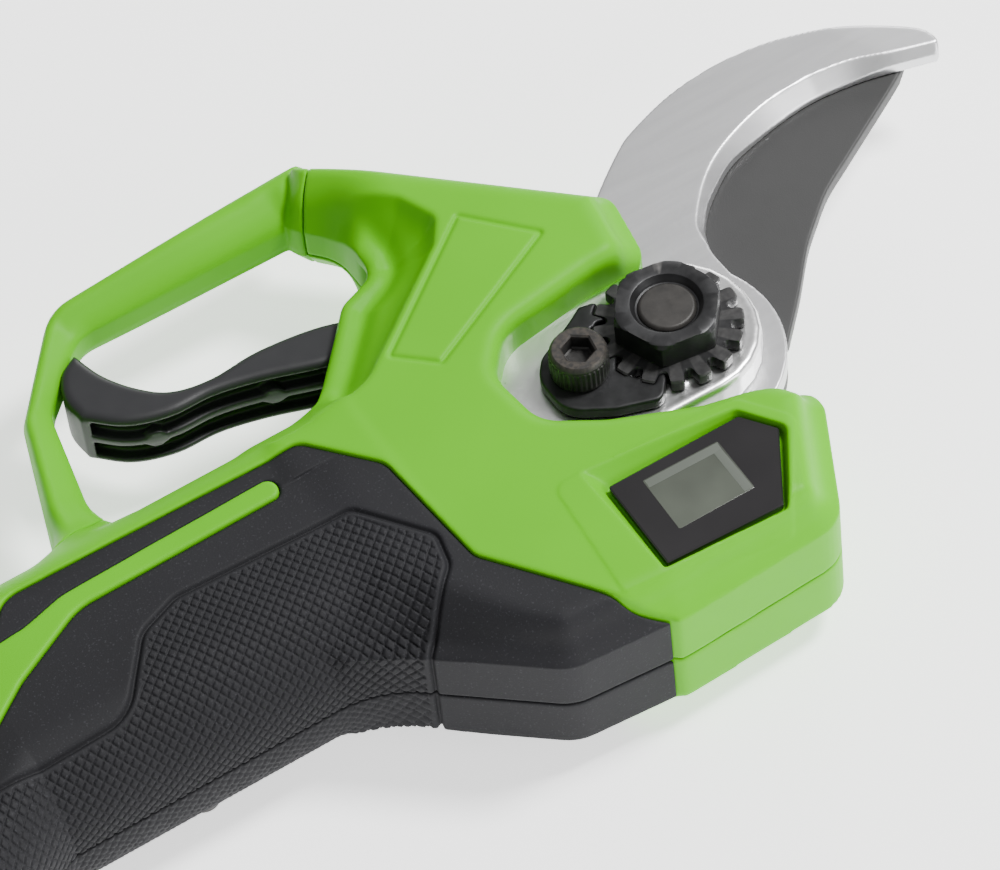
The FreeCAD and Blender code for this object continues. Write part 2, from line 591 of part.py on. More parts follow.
module = size("small_module")
orbit = (size("sun_teeth") + size("planet_teeth")) * module / 2
for index in range(3):
    y, z = (orbit * f(math.radians(120 * index)) for f in (math.cos, math.sin))
    planet = along_x(gear_face(size("planet_teeth"), module, 120 * index + 10), size("planet_back"),
                     size("planet_long"), y, z)
    planet = planet.cut(x_rod(size("planet_pin") + 0.04, -70, 30, y, z))
    solid("planet_gear_%d" % (index + 1), planet)
    node(rod("planet_pin", "planet_long + 1.8", ("planet_back", y, "parting + %f" % z), "X"),
         "planet_pin_%d" % (index + 1))
ring_space = gear_face(size("ring_teeth"), module, 0, -1.0)
ring = x_rod(size("ring_outer"), size("gearbox_back"), size("gearbox_front") - size("gearbox_back"))
ring = ring.cut(along_x(ring_space, size("gearbox_back") + 1.5, size("planet_long") + 4.0))
ring = ring.cut(x_rod(11.6, shaft_back - 0.8, 10)).cut(x_rod(3.4, -70, 30))
solid("gearbox_ring", ring)

sun = along_x(gear_face(size("sun_teeth"), module, 0), size("planet_back") - 0.5, size("planet_long") + 1)
solid("sun_gear", sun.cut(x_rod(size("rotor_shaft"), -80, 40)))
motor_long = size("motor_front") - size("motor_back")
wall = size("motor_wall")
can = x_rod(size("motor_outer"), size("motor_back"), motor_long)
can = can.cut(x_rod(size("motor_outer") - wall, size("motor_back") + wall, motor_long - 2 * wall))
solid("motor_can", can.cut(x_rod(3.3, size("motor_back") - 1, motor_long + 2)))
node(tube("motor_outer - motor_wall - 0.01", "stator_inner", 26, ("motor_back + 8", 0, "parting"), "X"),
     "motor_stator")
node(rod("rotor_shaft", "motor_front - motor_back + 9.2", ("motor_back - 0.4", 0, "parting"), "X"),
     "rotor_shaft")
node(tube("rotor_outer", "rotor_shaft", 24, ("motor_back + 9", 0, "parting"), "X"), "motor_rotor")
for name, where in (("motor_bearing_back", "motor_back"), ("motor_bearing_front", "motor_front - 3")):
    node(tube("3.25", "rotor_shaft + 0.04", 3, (where, 0, "parting"), "X"), name)

# ---------------------------------------------------------------- trigger

trigger_edges = [
    arc((-83.8, 57.2), (-80.6, 48.2), (-73.9, 40.9)), arc((-73.9, 40.9), (-67.0, 39.3), (-57.6, 39.9)),
    arc((-57.6, 39.9), (-46.0, 38.2), (-36.5, 34.2)), arc((-36.5, 34.2), (-34.6, 31.0), (-36.5, 27.8)),
    line((-36.5, 27.8), (-48.9, 30.2)), arc((-48.9, 30.2), (-60.0, 34.6), (-76.6, 36.3)),
    arc((-76.6, 36.3), (-84.0, 39.3), (-89.6, 44.6)), arc((-89.6, 44.6), (-88.3, 51.6), (-83.8, 57.2))]
trigger_hole = [(size("trigger_pin_x"), size("trigger_pin_y"), size("trigger_pin") + size("fit"))]
trigger = plate("trigger_block", ring_of_holes(trigger_edges, trigger_hole),
                "parting - trigger_half", "2 * trigger_half")
spring_low = "parting + 2.4"
node(cut(trigger, rod("3.6", 10, ("trigger_pin_x", "trigger_pin_y", spring_low))), "trigger")
node(rod("trigger_pin", 18, ("trigger_pin_x", "trigger_pin_y", "parting - 9")), "trigger_pin")
wire = 0.4
coil_radius = 2.7
coil = Part.makeHelix(1.0, 3.0, coil_radius)
profile = Part.Wire(Part.makeCircle(wire, Vector(coil_radius, 0, 0), Vector(0, 1, 0)))
spring = Part.Wire(coil).makePipeShell([profile], True, True)
solid("trigger_spring", spring.translated(
    Vector(size("trigger_pin_x"), size("trigger_pin_y"), size("parting") + 3.0)))

# ---------------------------------------------------------------- electronics in the handle and head

node(block("32", "26", "board_thick", ("0 - 142.5", "0 - 17", "parting - 0.8")), "control_board")
for index, y in enumerate((-14.5, -7.5, -0.5, 6.5), start=1):
    node(block("8", "1.4", "8", ("pack_front - 4", y, "parting - 4")), "battery_contact_%d" % index)
node(cut(block("6.4", "48", "21", ("0 - 149.4", "0 - 29", "parting - 10.5")),
         block("4", "26", "9.4", ("0 - 151", "0 - 17", "parting - 4.7"))), "contact_block")
window_low = top - size("window_depth")
display = slab(inset(WINDOW, 0.25), window_low, window_low + size("window_thick"))
solid("display_window", display)
node(block("18", "14", "2.2", ("0 - 26", "0 - 43", window_low - 2.3)), "display_module")
node(block("19.5", "15.5", "1.2", ("0 - 26.8", "0 - 43.8", window_low - 3.6)), "display_board")

# ---------------------------------------------------------------- battery pack, drawn off along -X

front, back = size("pack_front"), size("pack_back")
pack_outline = [(back, -38.6, 9), (front, -38.6, 2), (front, 28.6, 2), (back, 28.6, 9)]


def pack_form(depth):
    """The upper half of the pack with a bevelled top, moved inwards by depth."""
    outline = inset(pack_outline, depth)
    shoulder = middle + 10.0
    high = middle + size("pack_half") - depth
    side = slab(outline, middle, shoulder)
    face = rounded_wire(inset(outline, 3.5), high)
    bevel = Part.makeLoft([rounded_wire(outline, shoulder), face], True, True)
    return side.fuse(bevel).removeSplitter()


pack_half = pack_form(0).cut(pack_form(size("pack_wall")))
contact_door = Part.makeBox(8, 32, 16, Vector(front - 4, -20, middle - 8))
latch_door = Part.makeBox(13, size("latch_wide") + 0.6, 6, Vector(front - 19, -13.3, middle + 11))
solid("battery_case_upper", pack_half.cut(contact_door).cut(latch_door))
solid("battery_case_lower", lower(pack_half).cut(contact_door))
for index in range(3):
    across = "0 - 5 + cell_pitch * %d" % (index - 1)
    node(rod("cell", "cell_long", ("pack_back + 4.5", across, "parting"), "X"), "battery_cell_%d" % (index + 1))
node(block("1.6", "56", "22", ("pack_front - 6.2", "0 - 33", "parting - 11")), "battery_board")
latch_low = middle + size("pack_half") - size("pack_wall") - 1.2
node(block("12.4", "latch_wide", "3.6", ("pack_front - 18.7", "0 - 13", latch_low)), "battery_latch")
node(fuse(rod("button", "4.2", ("button_x", "button_y", "1.1")),
          rod("button + 0.9", "0.8", ("button_x", "button_y", "5.3"))), "power_button")

# ---------------------------------------------------------------- checks and files

doc.recompute()
for item in doc.Objects:
    if {"Invalid", "Error"} & set(item.State):
        raise ValueError("%s failed: %s" % (item.Label, item.State))
for name, item in NODES.items():
    if item.Shape.isNull() or not item.Shape.isValid() or not item.Shape.Solids:
        raise ValueError("%s has no valid solid" % name)
for name, item in NODES.items():
    item.Shape.exportStep(os.path.join("parts", name + ".step"))
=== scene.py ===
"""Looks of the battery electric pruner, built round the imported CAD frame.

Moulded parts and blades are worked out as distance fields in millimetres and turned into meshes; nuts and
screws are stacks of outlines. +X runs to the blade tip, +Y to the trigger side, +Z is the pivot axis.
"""
import math

import bpy
import numpy as np
from mathutils import Matrix, Vector


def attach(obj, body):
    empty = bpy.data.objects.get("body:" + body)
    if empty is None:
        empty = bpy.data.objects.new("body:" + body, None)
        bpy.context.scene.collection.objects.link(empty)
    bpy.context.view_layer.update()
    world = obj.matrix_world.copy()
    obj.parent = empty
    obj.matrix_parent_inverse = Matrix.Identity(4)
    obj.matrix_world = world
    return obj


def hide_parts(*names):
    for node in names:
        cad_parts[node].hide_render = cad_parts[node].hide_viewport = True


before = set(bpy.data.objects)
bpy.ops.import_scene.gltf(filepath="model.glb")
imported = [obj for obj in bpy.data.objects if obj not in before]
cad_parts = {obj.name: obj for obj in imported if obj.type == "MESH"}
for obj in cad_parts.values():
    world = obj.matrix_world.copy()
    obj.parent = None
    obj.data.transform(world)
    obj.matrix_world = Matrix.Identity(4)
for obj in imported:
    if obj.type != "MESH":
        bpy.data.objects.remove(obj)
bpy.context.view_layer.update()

MM = 0.001
PARTING = 18.0          # height of the plane where the two housing halves meet
HALF = 18.0             # half thickness of the body
FINE = 0.34             # cell of the parts that are seen close up
PLAIN = 0.5             # cell of the parts without fine relief


def cell(size):
    return size


# ---------------------------------------------------------------- outlines


def rounded(corners, steps=7):
    """Points of a closed outline whose corners (x, y, radius) are rounded."""
    points = []
    count = len(corners)
    for i, (x, y, radius) in enumerate(corners):
        here = np.array((x, y), float)
        back = np.array(corners[i - 1][:2]) - here
        ahead = np.array(corners[(i + 1) % count][:2]) - here
        back_long, ahead_long = np.linalg.norm(back), np.linalg.norm(ahead)
        back, ahead = back / back_long, ahead / ahead_long
        half = math.acos(float(np.clip(back @ ahead, -1, 1))) / 2
        reach = min(radius / math.tan(half), 0.48 * back_long, 0.48 * ahead_long)
        radius = reach * math.tan(half)
        if radius < 0.05:
            points.append(here)
            continue
        middle = back + ahead
        centre = here + middle / np.linalg.norm(middle) * radius / math.sin(half)
        start = here + back * reach - centre
        end = here + ahead * reach - centre
        turn = math.atan2(start[0] * end[1] - start[1] * end[0], start @ end)
        for share in np.linspace(0, 1, steps):
            angle = turn * share
            c, s = math.cos(angle), math.sin(angle)
            points.append(centre + (c * start[0] - s * start[1], s * start[0] + c * start[1]))
    return np.array(points)


def curve(points, steps):
    """A smooth line through the points (Catmull-Rom)."""
    points = np.array(points, float)
    padded = np.vstack((2 * points[0] - points[1], points, 2 * points[-1] - points[-2]))
    line = []
    for a, b, c, d in zip(padded, padded[1:], padded[2:], padded[3:]):
        for t in np.linspace(0, 1, steps, endpoint=False):
            line.append(0.5 * (2 * b + (c - a) * t + (2 * a - 5 * b + 4 * c - d) * t ** 2
                               + (3 * b - a - 3 * c + d) * t ** 3))
    line.append(points[-1])
    return np.array(line)


def polar(radius, degrees):
    angle = np.radians(degrees)
    return np.stack((radius * np.cos(angle), radius * np.sin(angle)), axis=-1)


def circle(radius, count, middle=(0.0, 0.0)):
    return middle + polar(radius, np.linspace(0, 360, count, endpoint=False))


def arc_points(radius, start, end, count):
    return polar(radius, np.linspace(start, end, count))


# ---------------------------------------------------------------- distance fields


def smooth_max(a, b, blend):
    step = np.maximum(blend - np.abs(a - b), 0.0)
    return np.maximum(a, b) + step * step / (4 * blend)


def smooth_min(a, b, blend):
    step = np.maximum(blend - np.abs(a - b), 0.0)
    return np.minimum(a, b) - step * step / (4 * blend)


def fade(value, low, high):
    """0 below low, 1 above high, smooth between."""
    t = np.clip((value - low) / (high - low), 0, 1)
    return t * t * (3 - 2 * t)


class Grid:
    """Axes of a block of space; fields are arrays that broadcast over it."""

    def __init__(self, low, high, step):
        self.low = np.array(low, float)
        self.step = step
        counts = [int(math.ceil((b - a) / step)) + 1 for a, b in zip(low, high)]
        x, y, z = (a + step * np.arange(n) for a, n in zip(low, counts))
        self.x = x[:, None, None].astype(np.float32)
        self.y = y[None, :, None].astype(np.float32)
        self.z = z[None, None, :].astype(np.float32)
        self.shape = tuple(counts)

    def line_distance(self, points, closed):
        """Distance to a line in plan and, for a closed one, what lies inside."""
        x, y = self.x[:, :, 0], self.y[:, :, 0]
        best = np.full((self.shape[0], self.shape[1]), 1e9, np.float32)
        inside = np.zeros(best.shape, bool)
        ends = np.roll(points, -1, axis=0) if closed else points[1:]
        for (ax, ay), (bx, by) in zip(points, ends):
            ex, ey = bx - ax, by - ay
            length = ex * ex + ey * ey
            if length < 1e-12:
                continue
            wx, wy = x - ax, y - ay
            t = np.clip((wx * ex + wy * ey) / length, 0, 1)
            best = np.minimum(best, (wx - ex * t) ** 2 + (wy - ey * t) ** 2)
            if ay != by:
                crosses = (y < max(ay, by)) & (y >= min(ay, by))
                inside ^= crosses & (x < ax + (y - ay) * ex / ey)
        return np.sqrt(best), inside

    def outline(self, corners):
        """Signed distance to an outline in plan, negative inside."""
        points = rounded(corners) if len(corners[0]) == 3 else np.array(corners)
        distance, inside = self.line_distance(points, True)
        return np.where(inside, -distance, distance).astype(np.float32)[:, :, None]

    def radial(self, spot):
        """Distance in plan from an upright axis."""
        return np.hypot(self.x - spot[0], self.y - spot[1])

    def distance_to(self, points):
        return self.line_distance(np.array(points), False)[0].astype(np.float32)[:, :, None]


def sample(field, spots):
    """The field between its grid points, by trilinear weights."""
    top = np.array(field.shape) - 1.001
    spots = np.clip(spots, 0, top)
    base = np.floor(spots).astype(np.int64)
    part = (spots - base).astype(np.float32)
    total = np.zeros(len(spots), np.float32)
    for i in (0, 1):
        wx = part[:, 0] if i else 1 - part[:, 0]
        for j in (0, 1):
            wy = part[:, 1] if j else 1 - part[:, 1]
            for k in (0, 1):
                wz = part[:, 2] if k else 1 - part[:, 2]
                total += wx * wy * wz * field[base[:, 0] + i, base[:, 1] + j, base[:, 2] + k]
    return total


def skin(grid, field):
    """Vertices and quads of the surface where the field is zero (surface nets)."""
    field = np.ascontiguousarray(np.broadcast_to(field, grid.shape), dtype=np.float32)
    inside = field < 0
    corners = [(i, j, k) for i in (0, 1) for j in (0, 1) for k in (0, 1)]
    size = tuple(n - 1 for n in grid.shape)

    def shifted(values, i, j, k):
        return values[i:i + size[0], j:j + size[1], k:k + size[2]]

    some = np.zeros(size, bool)
    every = np.ones(size, bool)
    for corner in corners:
        piece = shifted(inside, *corner)
        some |= piece
        every &= piece
    cells = np.argwhere(some & ~every)
    number = np.full(size, -1, np.int64)
    number[tuple(cells.T)] = np.arange(len(cells))
    total = np.zeros((len(cells), 3), np.float32)
    crossings = np.zeros(len(cells), np.float32)
    for a in corners:
        for axis in range(3):
            if a[axis]:
                continue
            b = tuple(1 if n == axis else a[n] for n in range(3))
            value_a = field[tuple((cells + a).T)]
            value_b = field[tuple((cells + b).T)]
            cross = (value_a < 0) != (value_b < 0)
            share = np.where(cross, value_a / np.where(cross, value_a - value_b, 1), 0)
            spot = np.array(a, np.float32)[None, :] + share[:, None] * (np.array(b) - np.array(a))[None, :]
            total += np.where(cross[:, None], spot, 0)
            crossings += cross
    spots = cells + total / crossings[:, None]
    for _ in range(3):
        value = sample(field, spots)
        slope = np.stack([sample(field, spots + d) - sample(field, spots - d)
                          for d in np.eye(3) * 0.5], axis=1)
        length = np.maximum((slope ** 2).sum(1), 0.04 * grid.step ** 2)
        move = -value[:, None] * slope / length[:, None]
        spots = spots + np.clip(move, -0.4, 0.4)
    quads = []
    for axis in range(3):
        low = [slice(1, None)] * 3
        low[axis] = slice(0, -1)
        high = [slice(1, None)] * 3
        high[axis] = slice(1, None)
        a, b = inside[tuple(low)], inside[tuple(high)]
        u, v = [n for n in range(3) if n != axis]
        for outward in (True, False):
            change = (a & ~b) if outward else (~a & b)
            at = np.argwhere(change)
            at[:, u] += 1
            at[:, v] += 1
            keep = (at[:, u] < size[u]) & (at[:, v] < size[v])
            at = at[keep]
            ring = []
            for du, dv in ((-1, -1), (0, -1), (0, 0), (-1, 0)):
                spot = at.copy()
                spot[:, u] += du
                spot[:, v] += dv
                ring.append(number[tuple(spot.T)])
            if outward != (axis != 1):
                ring = ring[::-1]
            quads.append(np.stack(ring, axis=1))
    return spots * grid.step + grid.low, np.concatenate(quads)


# ---------------------------------------------------------------- pieces


def piece(name, body, slot, vertices, faces, material, replaces=()):
    """A mesh given in millimetres that rides on a body and may stand for CAD nodes."""
    mesh = bpy.data.meshes.new(name)
    vertices = np.asarray(vertices, np.float32) * MM
    if isinstance(faces, np.ndarray):
        count, sides = faces.shape
        mesh.vertices.add(len(vertices))
        mesh.vertices.foreach_set("co", vertices.ravel())
        mesh.loops.add(count * sides)
        mesh.loops.foreach_set("vertex_index", faces.astype(np.int32).ravel())
        mesh.polygons.add(count)
        mesh.polygons.foreach_set("loop_start", np.arange(count, dtype=np.int32) * sides)
    else:
        mesh.from_pydata([tuple(map(float, v)) for v in vertices], [], faces)
    mesh.polygons.foreach_set("use_smooth", np.ones(len(mesh.polygons), bool))
    mesh.update(calc_edges=True)
    mesh.validate()
    mesh.materials.append(material)
    item = bpy.data.objects.new(name, mesh)
    bpy.context.scene.collection.objects.link(item)
    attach(item, body)
    if replaces:
        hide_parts(*replaces)
    return item


def field_piece(name, body, slot, grid, field, material, flip=False, replaces=(), heights=True):
    """A piece skinned from a field; flip mirrors the upper half into the lower one."""
    vertices, quads = skin(grid, field)
    if heights:
        vertices[:, 2] = PARTING - vertices[:, 2] if flip else PARTING + vertices[:, 2]
    if flip:
        quads = quads[:, ::-1]
    return piece(name, body, slot, vertices, np.ascontiguousarray(quads), material, replaces=replaces)


def offset(points, depth):
    """A closed anticlockwise line moved inwards by depth along its own normals."""
    ahead = np.roll(points, -1, axis=0) - points
    back = points - np.roll(points, 1, axis=0)
    ahead /= np.linalg.norm(ahead, axis=1)[:, None] + 1e-9
    back /= np.linalg.norm(back, axis=1)[:, None] + 1e-9
    normal = np.stack((-(ahead + back)[:, 1], (ahead + back)[:, 0]), axis=1)
    cosine = np.maximum(1 + (ahead * back).sum(1), 0.5)
    return points + normal * (depth / cosine)[:, None]


def stack(levels, ring=False):
    """Vertices and faces through outlines of equal count: [(points, z), ...], bottom first.

    The two ends are closed by flat faces or, for a ring, the last outline is joined to the first.
    """
    count, rows = len(levels[0][0]), len(levels)
    vertices = [(p[0], p[1], height) for points, height in levels for p in points]
    faces = []
    for row in range(rows if ring else rows - 1):
        low, high = row * count, (row + 1) % rows * count
        for i in range(count):
            j = (i + 1) % count
            faces.append((low + i, low + j, high + j, high + i))
    if not ring:
        faces.append(tuple(range(count))[::-1])
        faces.append(tuple(range((rows - 1) * count, rows * count)))
    return vertices, faces


def sharpen(item, degrees=35):
    """Smooth shading that keeps edges sharper than the angle."""
    item.data.set_sharp_from_angle(angle=math.radians(degrees))
    return item


# ---------------------------------------------------------------- materials

WEAR_START, WEAR_FULL, WEAR_AMOUNT = 0.56, 0.68, 0.7    # pointiness where wear shows, and its strength


class Nodes:
    """A principled material and the few nodes that give it surface detail."""

    def __init__(self, name, colour, roughness, metallic=0.0, specular=0.5):
        self.material = bpy.data.materials.new(name)
        self.material.use_nodes = True
        self.tree = self.material.node_tree
        self.shader = self.tree.nodes["Principled BSDF"]
        self.shader.inputs["Base Color"].default_value = (*colour, 1)
        self.shader.inputs["Roughness"].default_value = roughness
        self.shader.inputs["Metallic"].default_value = metallic
        self.shader.inputs["Specular IOR Level"].default_value = specular
        self.colour = colour
        self.place = self.add("ShaderNodeTexCoord").outputs["Object"]
        self.bumped = None

    def add(self, kind, **settings):
        node = self.tree.nodes.new(kind)
        for key, value in settings.items():
            setattr(node, key, value)
        return node

    def link(self, source, target):
        self.tree.links.new(source, target)

    def stretched(self, scale):
        mapping = self.add("ShaderNodeMapping")
        mapping.inputs["Scale"].default_value = scale
        self.link(self.place, mapping.inputs["Vector"])
        return mapping.outputs["Vector"]

    def noise(self, scale, detail=3.0, stretch=(1, 1, 1)):
        """Noise with features about 1/scale metres across."""
        noise = self.add("ShaderNodeTexNoise")
        noise.inputs["Scale"].default_value = scale
        noise.inputs["Detail"].default_value = detail
        self.link(self.stretched(stretch), noise.inputs["Vector"])
        return noise.outputs["Fac"]

    def ramp(self, factor, stops):
        ramp = self.add("ShaderNodeValToRGB")
        elements = ramp.color_ramp.elements
        while len(elements) < len(stops):
            elements.new(0.5)
        for element, (position, colour) in zip(elements, stops):
            element.position = position
            element.color = (*colour, 1)
        self.link(factor, ramp.inputs["Fac"])
        return ramp.outputs["Color"]

    def vary_colour(self, factor, low, high):
        """Base colour between two shades of the main colour."""
        dark = tuple(c * low for c in self.colour)
        light = tuple(min(c * high, 1.0) for c in self.colour)
        self.link(self.ramp(factor, [(0.3, dark), (0.7, light)]), self.shader.inputs["Base Color"])

    def mix_colour(self, factor, other):
        """Blend the base colour towards another by a factor output."""
        mix = self.add("ShaderNodeMix", data_type="RGBA")
        base = self.shader.inputs["Base Color"]
        if base.links:
            self.link(base.links[0].from_socket, mix.inputs[6])
        else:
            mix.inputs[6].default_value = base.default_value
        mix.inputs[7].default_value = (*other, 1)
        self.link(factor, mix.inputs[0])
        self.link(mix.outputs[2], base)

    def vary_roughness(self, factor, low, high):
        spread = self.add("ShaderNodeMapRange")
        spread.inputs["To Min"].default_value = low
        spread.inputs["To Max"].default_value = high
        self.link(factor, spread.inputs["Value"])
        self.link(spread.outputs["Result"], self.shader.inputs["Roughness"])

    def bump(self, height, depth, strength=1.0):
        """Relief of a depth in metres; further calls add to it."""
        bump = self.add("ShaderNodeBump")
        bump.inputs["Strength"].default_value = strength
        bump.inputs["Distance"].default_value = depth
        self.link(height, bump.inputs["Height"])
        if self.bumped:
            self.link(self.bumped, bump.inputs["Normal"])
        self.bumped = bump.outputs["Normal"]
        self.link(self.bumped, self.shader.inputs["Normal"])

    def edge_wear(self, colour):
        """Lighter convex edges, broken up by noise."""
        point = self.add("ShaderNodeNewGeometry").outputs["Pointiness"]
        edge = self.add("ShaderNodeMapRange")
        edge.inputs["From Min"].default_value = WEAR_START
        edge.inputs["From Max"].default_value = WEAR_FULL
        self.link(point, edge.inputs["Value"])
        worn = self.add("ShaderNodeMath", operation="MULTIPLY")
        self.link(edge.outputs["Result"], worn.inputs[0])
        self.link(self.noise(900.0), worn.inputs[1])
        scaled = self.add("ShaderNodeMath", operation="MULTIPLY", use_clamp=True)
        self.link(worn.outputs["Value"], scaled.inputs[0])
        scaled.inputs[1].default_value = WEAR_AMOUNT
        self.mix_colour(scaled.outputs["Value"], colour)


def moulded(name, colour, roughness, grain=0.00002, specular=0.45):
    """Moulded plastic: slow colour drift and a fine spark-eroded grain."""
    nodes = Nodes(name, colour, roughness, specular=specular)
    nodes.vary_colour(nodes.noise(25.0), 0.95, 1.05)
    nodes.vary_roughness(nodes.noise(300.0), roughness - 0.05, roughness + 0.06)
    nodes.bump(nodes.noise(4200.0, 2.0), grain, 0.5)
    return nodes.material


def speckled_rubber(name, colour):
    """Soft grip rubber with a fine pale bloom in its grain."""
    nodes = Nodes(name, colour, 0.66, specular=0.2)
    nodes.vary_colour(nodes.noise(30.0), 0.88, 1.14)
    speck = nodes.ramp(nodes.noise(2600.0, 1.0), [(0.63, (0, 0, 0)), (0.74, (1, 1, 1))])
    nodes.mix_colour(speck, tuple(min(1.0, 2.1 * c) for c in colour))
    nodes.bump(nodes.noise(3000.0, 3.0), 0.00004, 0.6)
    return nodes.material


def ground_steel(name, colour, roughness, stretch=(1, 1, 1), depth=0.000004):
    """Steel with fine grinding lines along one direction."""
    nodes = Nodes(name, colour, roughness, metallic=1.0)
    lines = nodes.noise(1500.0, 4.0, stretch)
    nodes.vary_colour(nodes.noise(60.0, 2.0, stretch), 0.95, 1.05)
    nodes.vary_roughness(lines, roughness - 0.06, roughness + 0.08)
    nodes.bump(lines, depth, 0.5)
    return nodes.material


def black_oxide(name, colour, roughness=0.42):
    """Blackened steel, with bare metal showing on the edges."""
    nodes = Nodes(name, colour, roughness, metallic=0.55, specular=0.5)
    nodes.vary_colour(nodes.noise(400.0), 0.75, 1.35)
    nodes.vary_roughness(nodes.noise(900.0), roughness - 0.1, roughness + 0.12)
    nodes.bump(nodes.noise(2500.0), 0.00001, 0.5)
    nodes.edge_wear((0.32, 0.31, 0.30))
    return nodes.material


def circuit(name, colour):
    """A circuit board: fine copper tracks under solder mask."""
    nodes = Nodes(name, colour, 0.3)
    brick = nodes.add("ShaderNodeTexBrick")
    brick.inputs["Scale"].default_value = 400.0
    brick.inputs["Color1"].default_value = (*colour, 1)
    brick.inputs["Color2"].default_value = (*(1.6 * c for c in colour), 1)
    brick.inputs["Mortar"].default_value = (0.25, 0.2, 0.05, 1)
    nodes.link(nodes.place, brick.inputs["Vector"])
    nodes.link(brick.outputs["Color"], nodes.shader.inputs["Base Color"])
    return nodes.material


GREEN = moulded("green_plastic", (0.10, 0.45, 0.0), 0.45, specular=0.12)
RUBBER_BLACK = speckled_rubber("grip_rubber", (0.013, 0.013, 0.015))
BLACK = moulded("black_plastic", (0.018, 0.018, 0.02), 0.42)
HOOK_STEEL = ground_steel("hook_steel", (0.70, 0.70, 0.71), 0.36, (1, 8, 1))
COATED = moulded("coated_steel", (0.03, 0.03, 0.03), 0.5, 0.00003)
CAST = ground_steel("cast_aluminium", (0.86, 0.86, 0.86), 0.3, (1, 1, 1), 0.00001)
OXIDE = black_oxide("black_oxide", (0.02, 0.02, 0.021))
STEEL = ground_steel("bearing_steel", (0.56, 0.56, 0.58), 0.28, (1, 1, 6))
GEAR = ground_steel("gear_steel", (0.40, 0.40, 0.42), 0.34, (6, 1, 1))
BRONZE = ground_steel("bronze", (0.62, 0.42, 0.2), 0.4)
MOTOR = ground_steel("motor_steel", (0.35, 0.35, 0.37), 0.4)
CONTACT = ground_steel("contact_metal", (0.8, 0.62, 0.3), 0.25)
BOARD = circuit("circuit_board", (0.015, 0.12, 0.04))


def display_glass():
    """Dark gloss window; fine scuffs only in its roughness."""
    nodes = Nodes("display_black", (0.016, 0.015, 0.016), 0.12, specular=0.5)
    nodes.vary_roughness(nodes.noise(120.0, 5.0), 0.08, 0.2)
    nodes.vary_colour(nodes.noise(40.0), 0.8, 1.3)
    return nodes.material


def liquid_crystal():
    """Grey-green crystal panel with a faint clouding."""
    nodes = Nodes("display_grey", (0.062, 0.07, 0.056), 0.25)
    nodes.vary_colour(nodes.noise(90.0, 2.0), 0.75, 1.3)
    nodes.bump(nodes.noise(3000.0), 0.000003, 0.3)
    return nodes.material


def cell_wrap():
    """Shrink wrap on a battery cell."""
    nodes = Nodes("cell_wrap", (0.05, 0.16, 0.4), 0.3)
    nodes.vary_colour(nodes.noise(50.0), 0.9, 1.1)
    nodes.bump(nodes.noise(200.0), 0.00003, 0.4)
    return nodes.material


GLASS = display_glass()
CRYSTAL = liquid_crystal()
WRAP = cell_wrap()


# ---------------------------------------------------------------- housing, seen from above
# Corners are (x, y, radius) in millimetres, anticlockwise.

BODY = [
    (13.0, -27.3, 5), (7.6, -18.8, 2.5), (5.0, 15.0, 3), (7.2, 29.2, 4), (-35.2, 69.9, 2.5),
    (-41.0, 60.0, 4), (-34.5, 52.5, 9), (-34.3, 40.5, 3.5), (-42.0, 37.8, 5), (-57.0, 20.5, 8),
    (-63.0, 17.0, 3), (-72.0, 17.0, 2), (-80.0, -26.5, 2), (-71.0, -32.3, 14), (-50.6, -49.6, 9),
    (-30.0, -51.4, 20), (1.6, -50.0, 7)]
LOWER_BODY = BODY[:2] + [(15.6, -12.0, 9), (15.6, 11.0, 9)] + BODY[3:]
RIDGE = [
    (-120.0, 80.0, 1), (-120.0, 66.0, 1), (-44.0, 64.6, 6), (-35.2, 57.4, 3), (-24.5, 45.9, 5.5),
    (-21.4, 38.4, 3), (-25.0, 33.2, 5), (-49.5, 14.6, 12), (-60.0, 13.2, 9), (-170.0, 13.2, 1),
    (-170.0, -90.0, 1), (60.0, -90.0, 1), (60.0, 80.0, 1)]
NOTCH = [
    (30.0, -23.6, 1), (4.0, -22.6, 3), (-6.0, -20.2, 9), (-20.5, -13.6, 14), (-29.6, -7.5, 7),
    (-31.0, 4.5, 6), (-25.0, 11.6, 9), (-6.0, 14.2, 9), (30.0, 15.2, 1)]
GLASS_EDGE = [
    (-28.7, -44.6, 0.6), (-6.4, -45.6, 0.8), (1.7, -31.9, 1), (-2.7, -25.7, 1), (-28.4, -25.6, 0.8)]
RECESS = [
    (-29.6, -45.3, 0.6), (-6.2, -46.4, 1.5), (2.5, -32.8, 1.8), (-2.9, -25.0, 2), (-30.6, -21.3, 0.9)]
PLATEAU = [
    (-37.6, -45.8, 1), (-7.0, -48.6, 1.5), (4.6, -32.0, 2), (-2.0, -22.8, 2), (-35.8, -21.2, 2.5)]
PANEL = [(-18.8, 36.4, 0.4), (-43.8, 17.4, 0.4), (-37.3, 11.2, 0.4), (-8.9, 25.1, 0.4)]
RUBBER = [
    (-121.0, 12.0, 6), (-127.0, 5.0, 20), (-137.0, -11.0, 12), (-147.5, -26.0, 2), (-147.5, -70.0, 1),
    (-31.6, -70.0, 1), (-31.2, -51.0, 2), (-38.2, -46.0, 3), (-53.4, -25.2, 4), (-55.7, -1.0, 5),
    (-65.6, 10.9, 3.5), (-112.0, 11.9, 6)]
STRIPE = [
    (-72.6, 3.6, 1.9), (-72.6, 7.6, 1.9), (-98.0, 7.1, 30), (-113.0, 6.7, 10), (-121.0, 4.6, 12),
    (-129.0, 4.0, 4), (-140.0, -14.0, 2), (-126.5, -4.4, 10), (-112.0, 3.0, 12)]
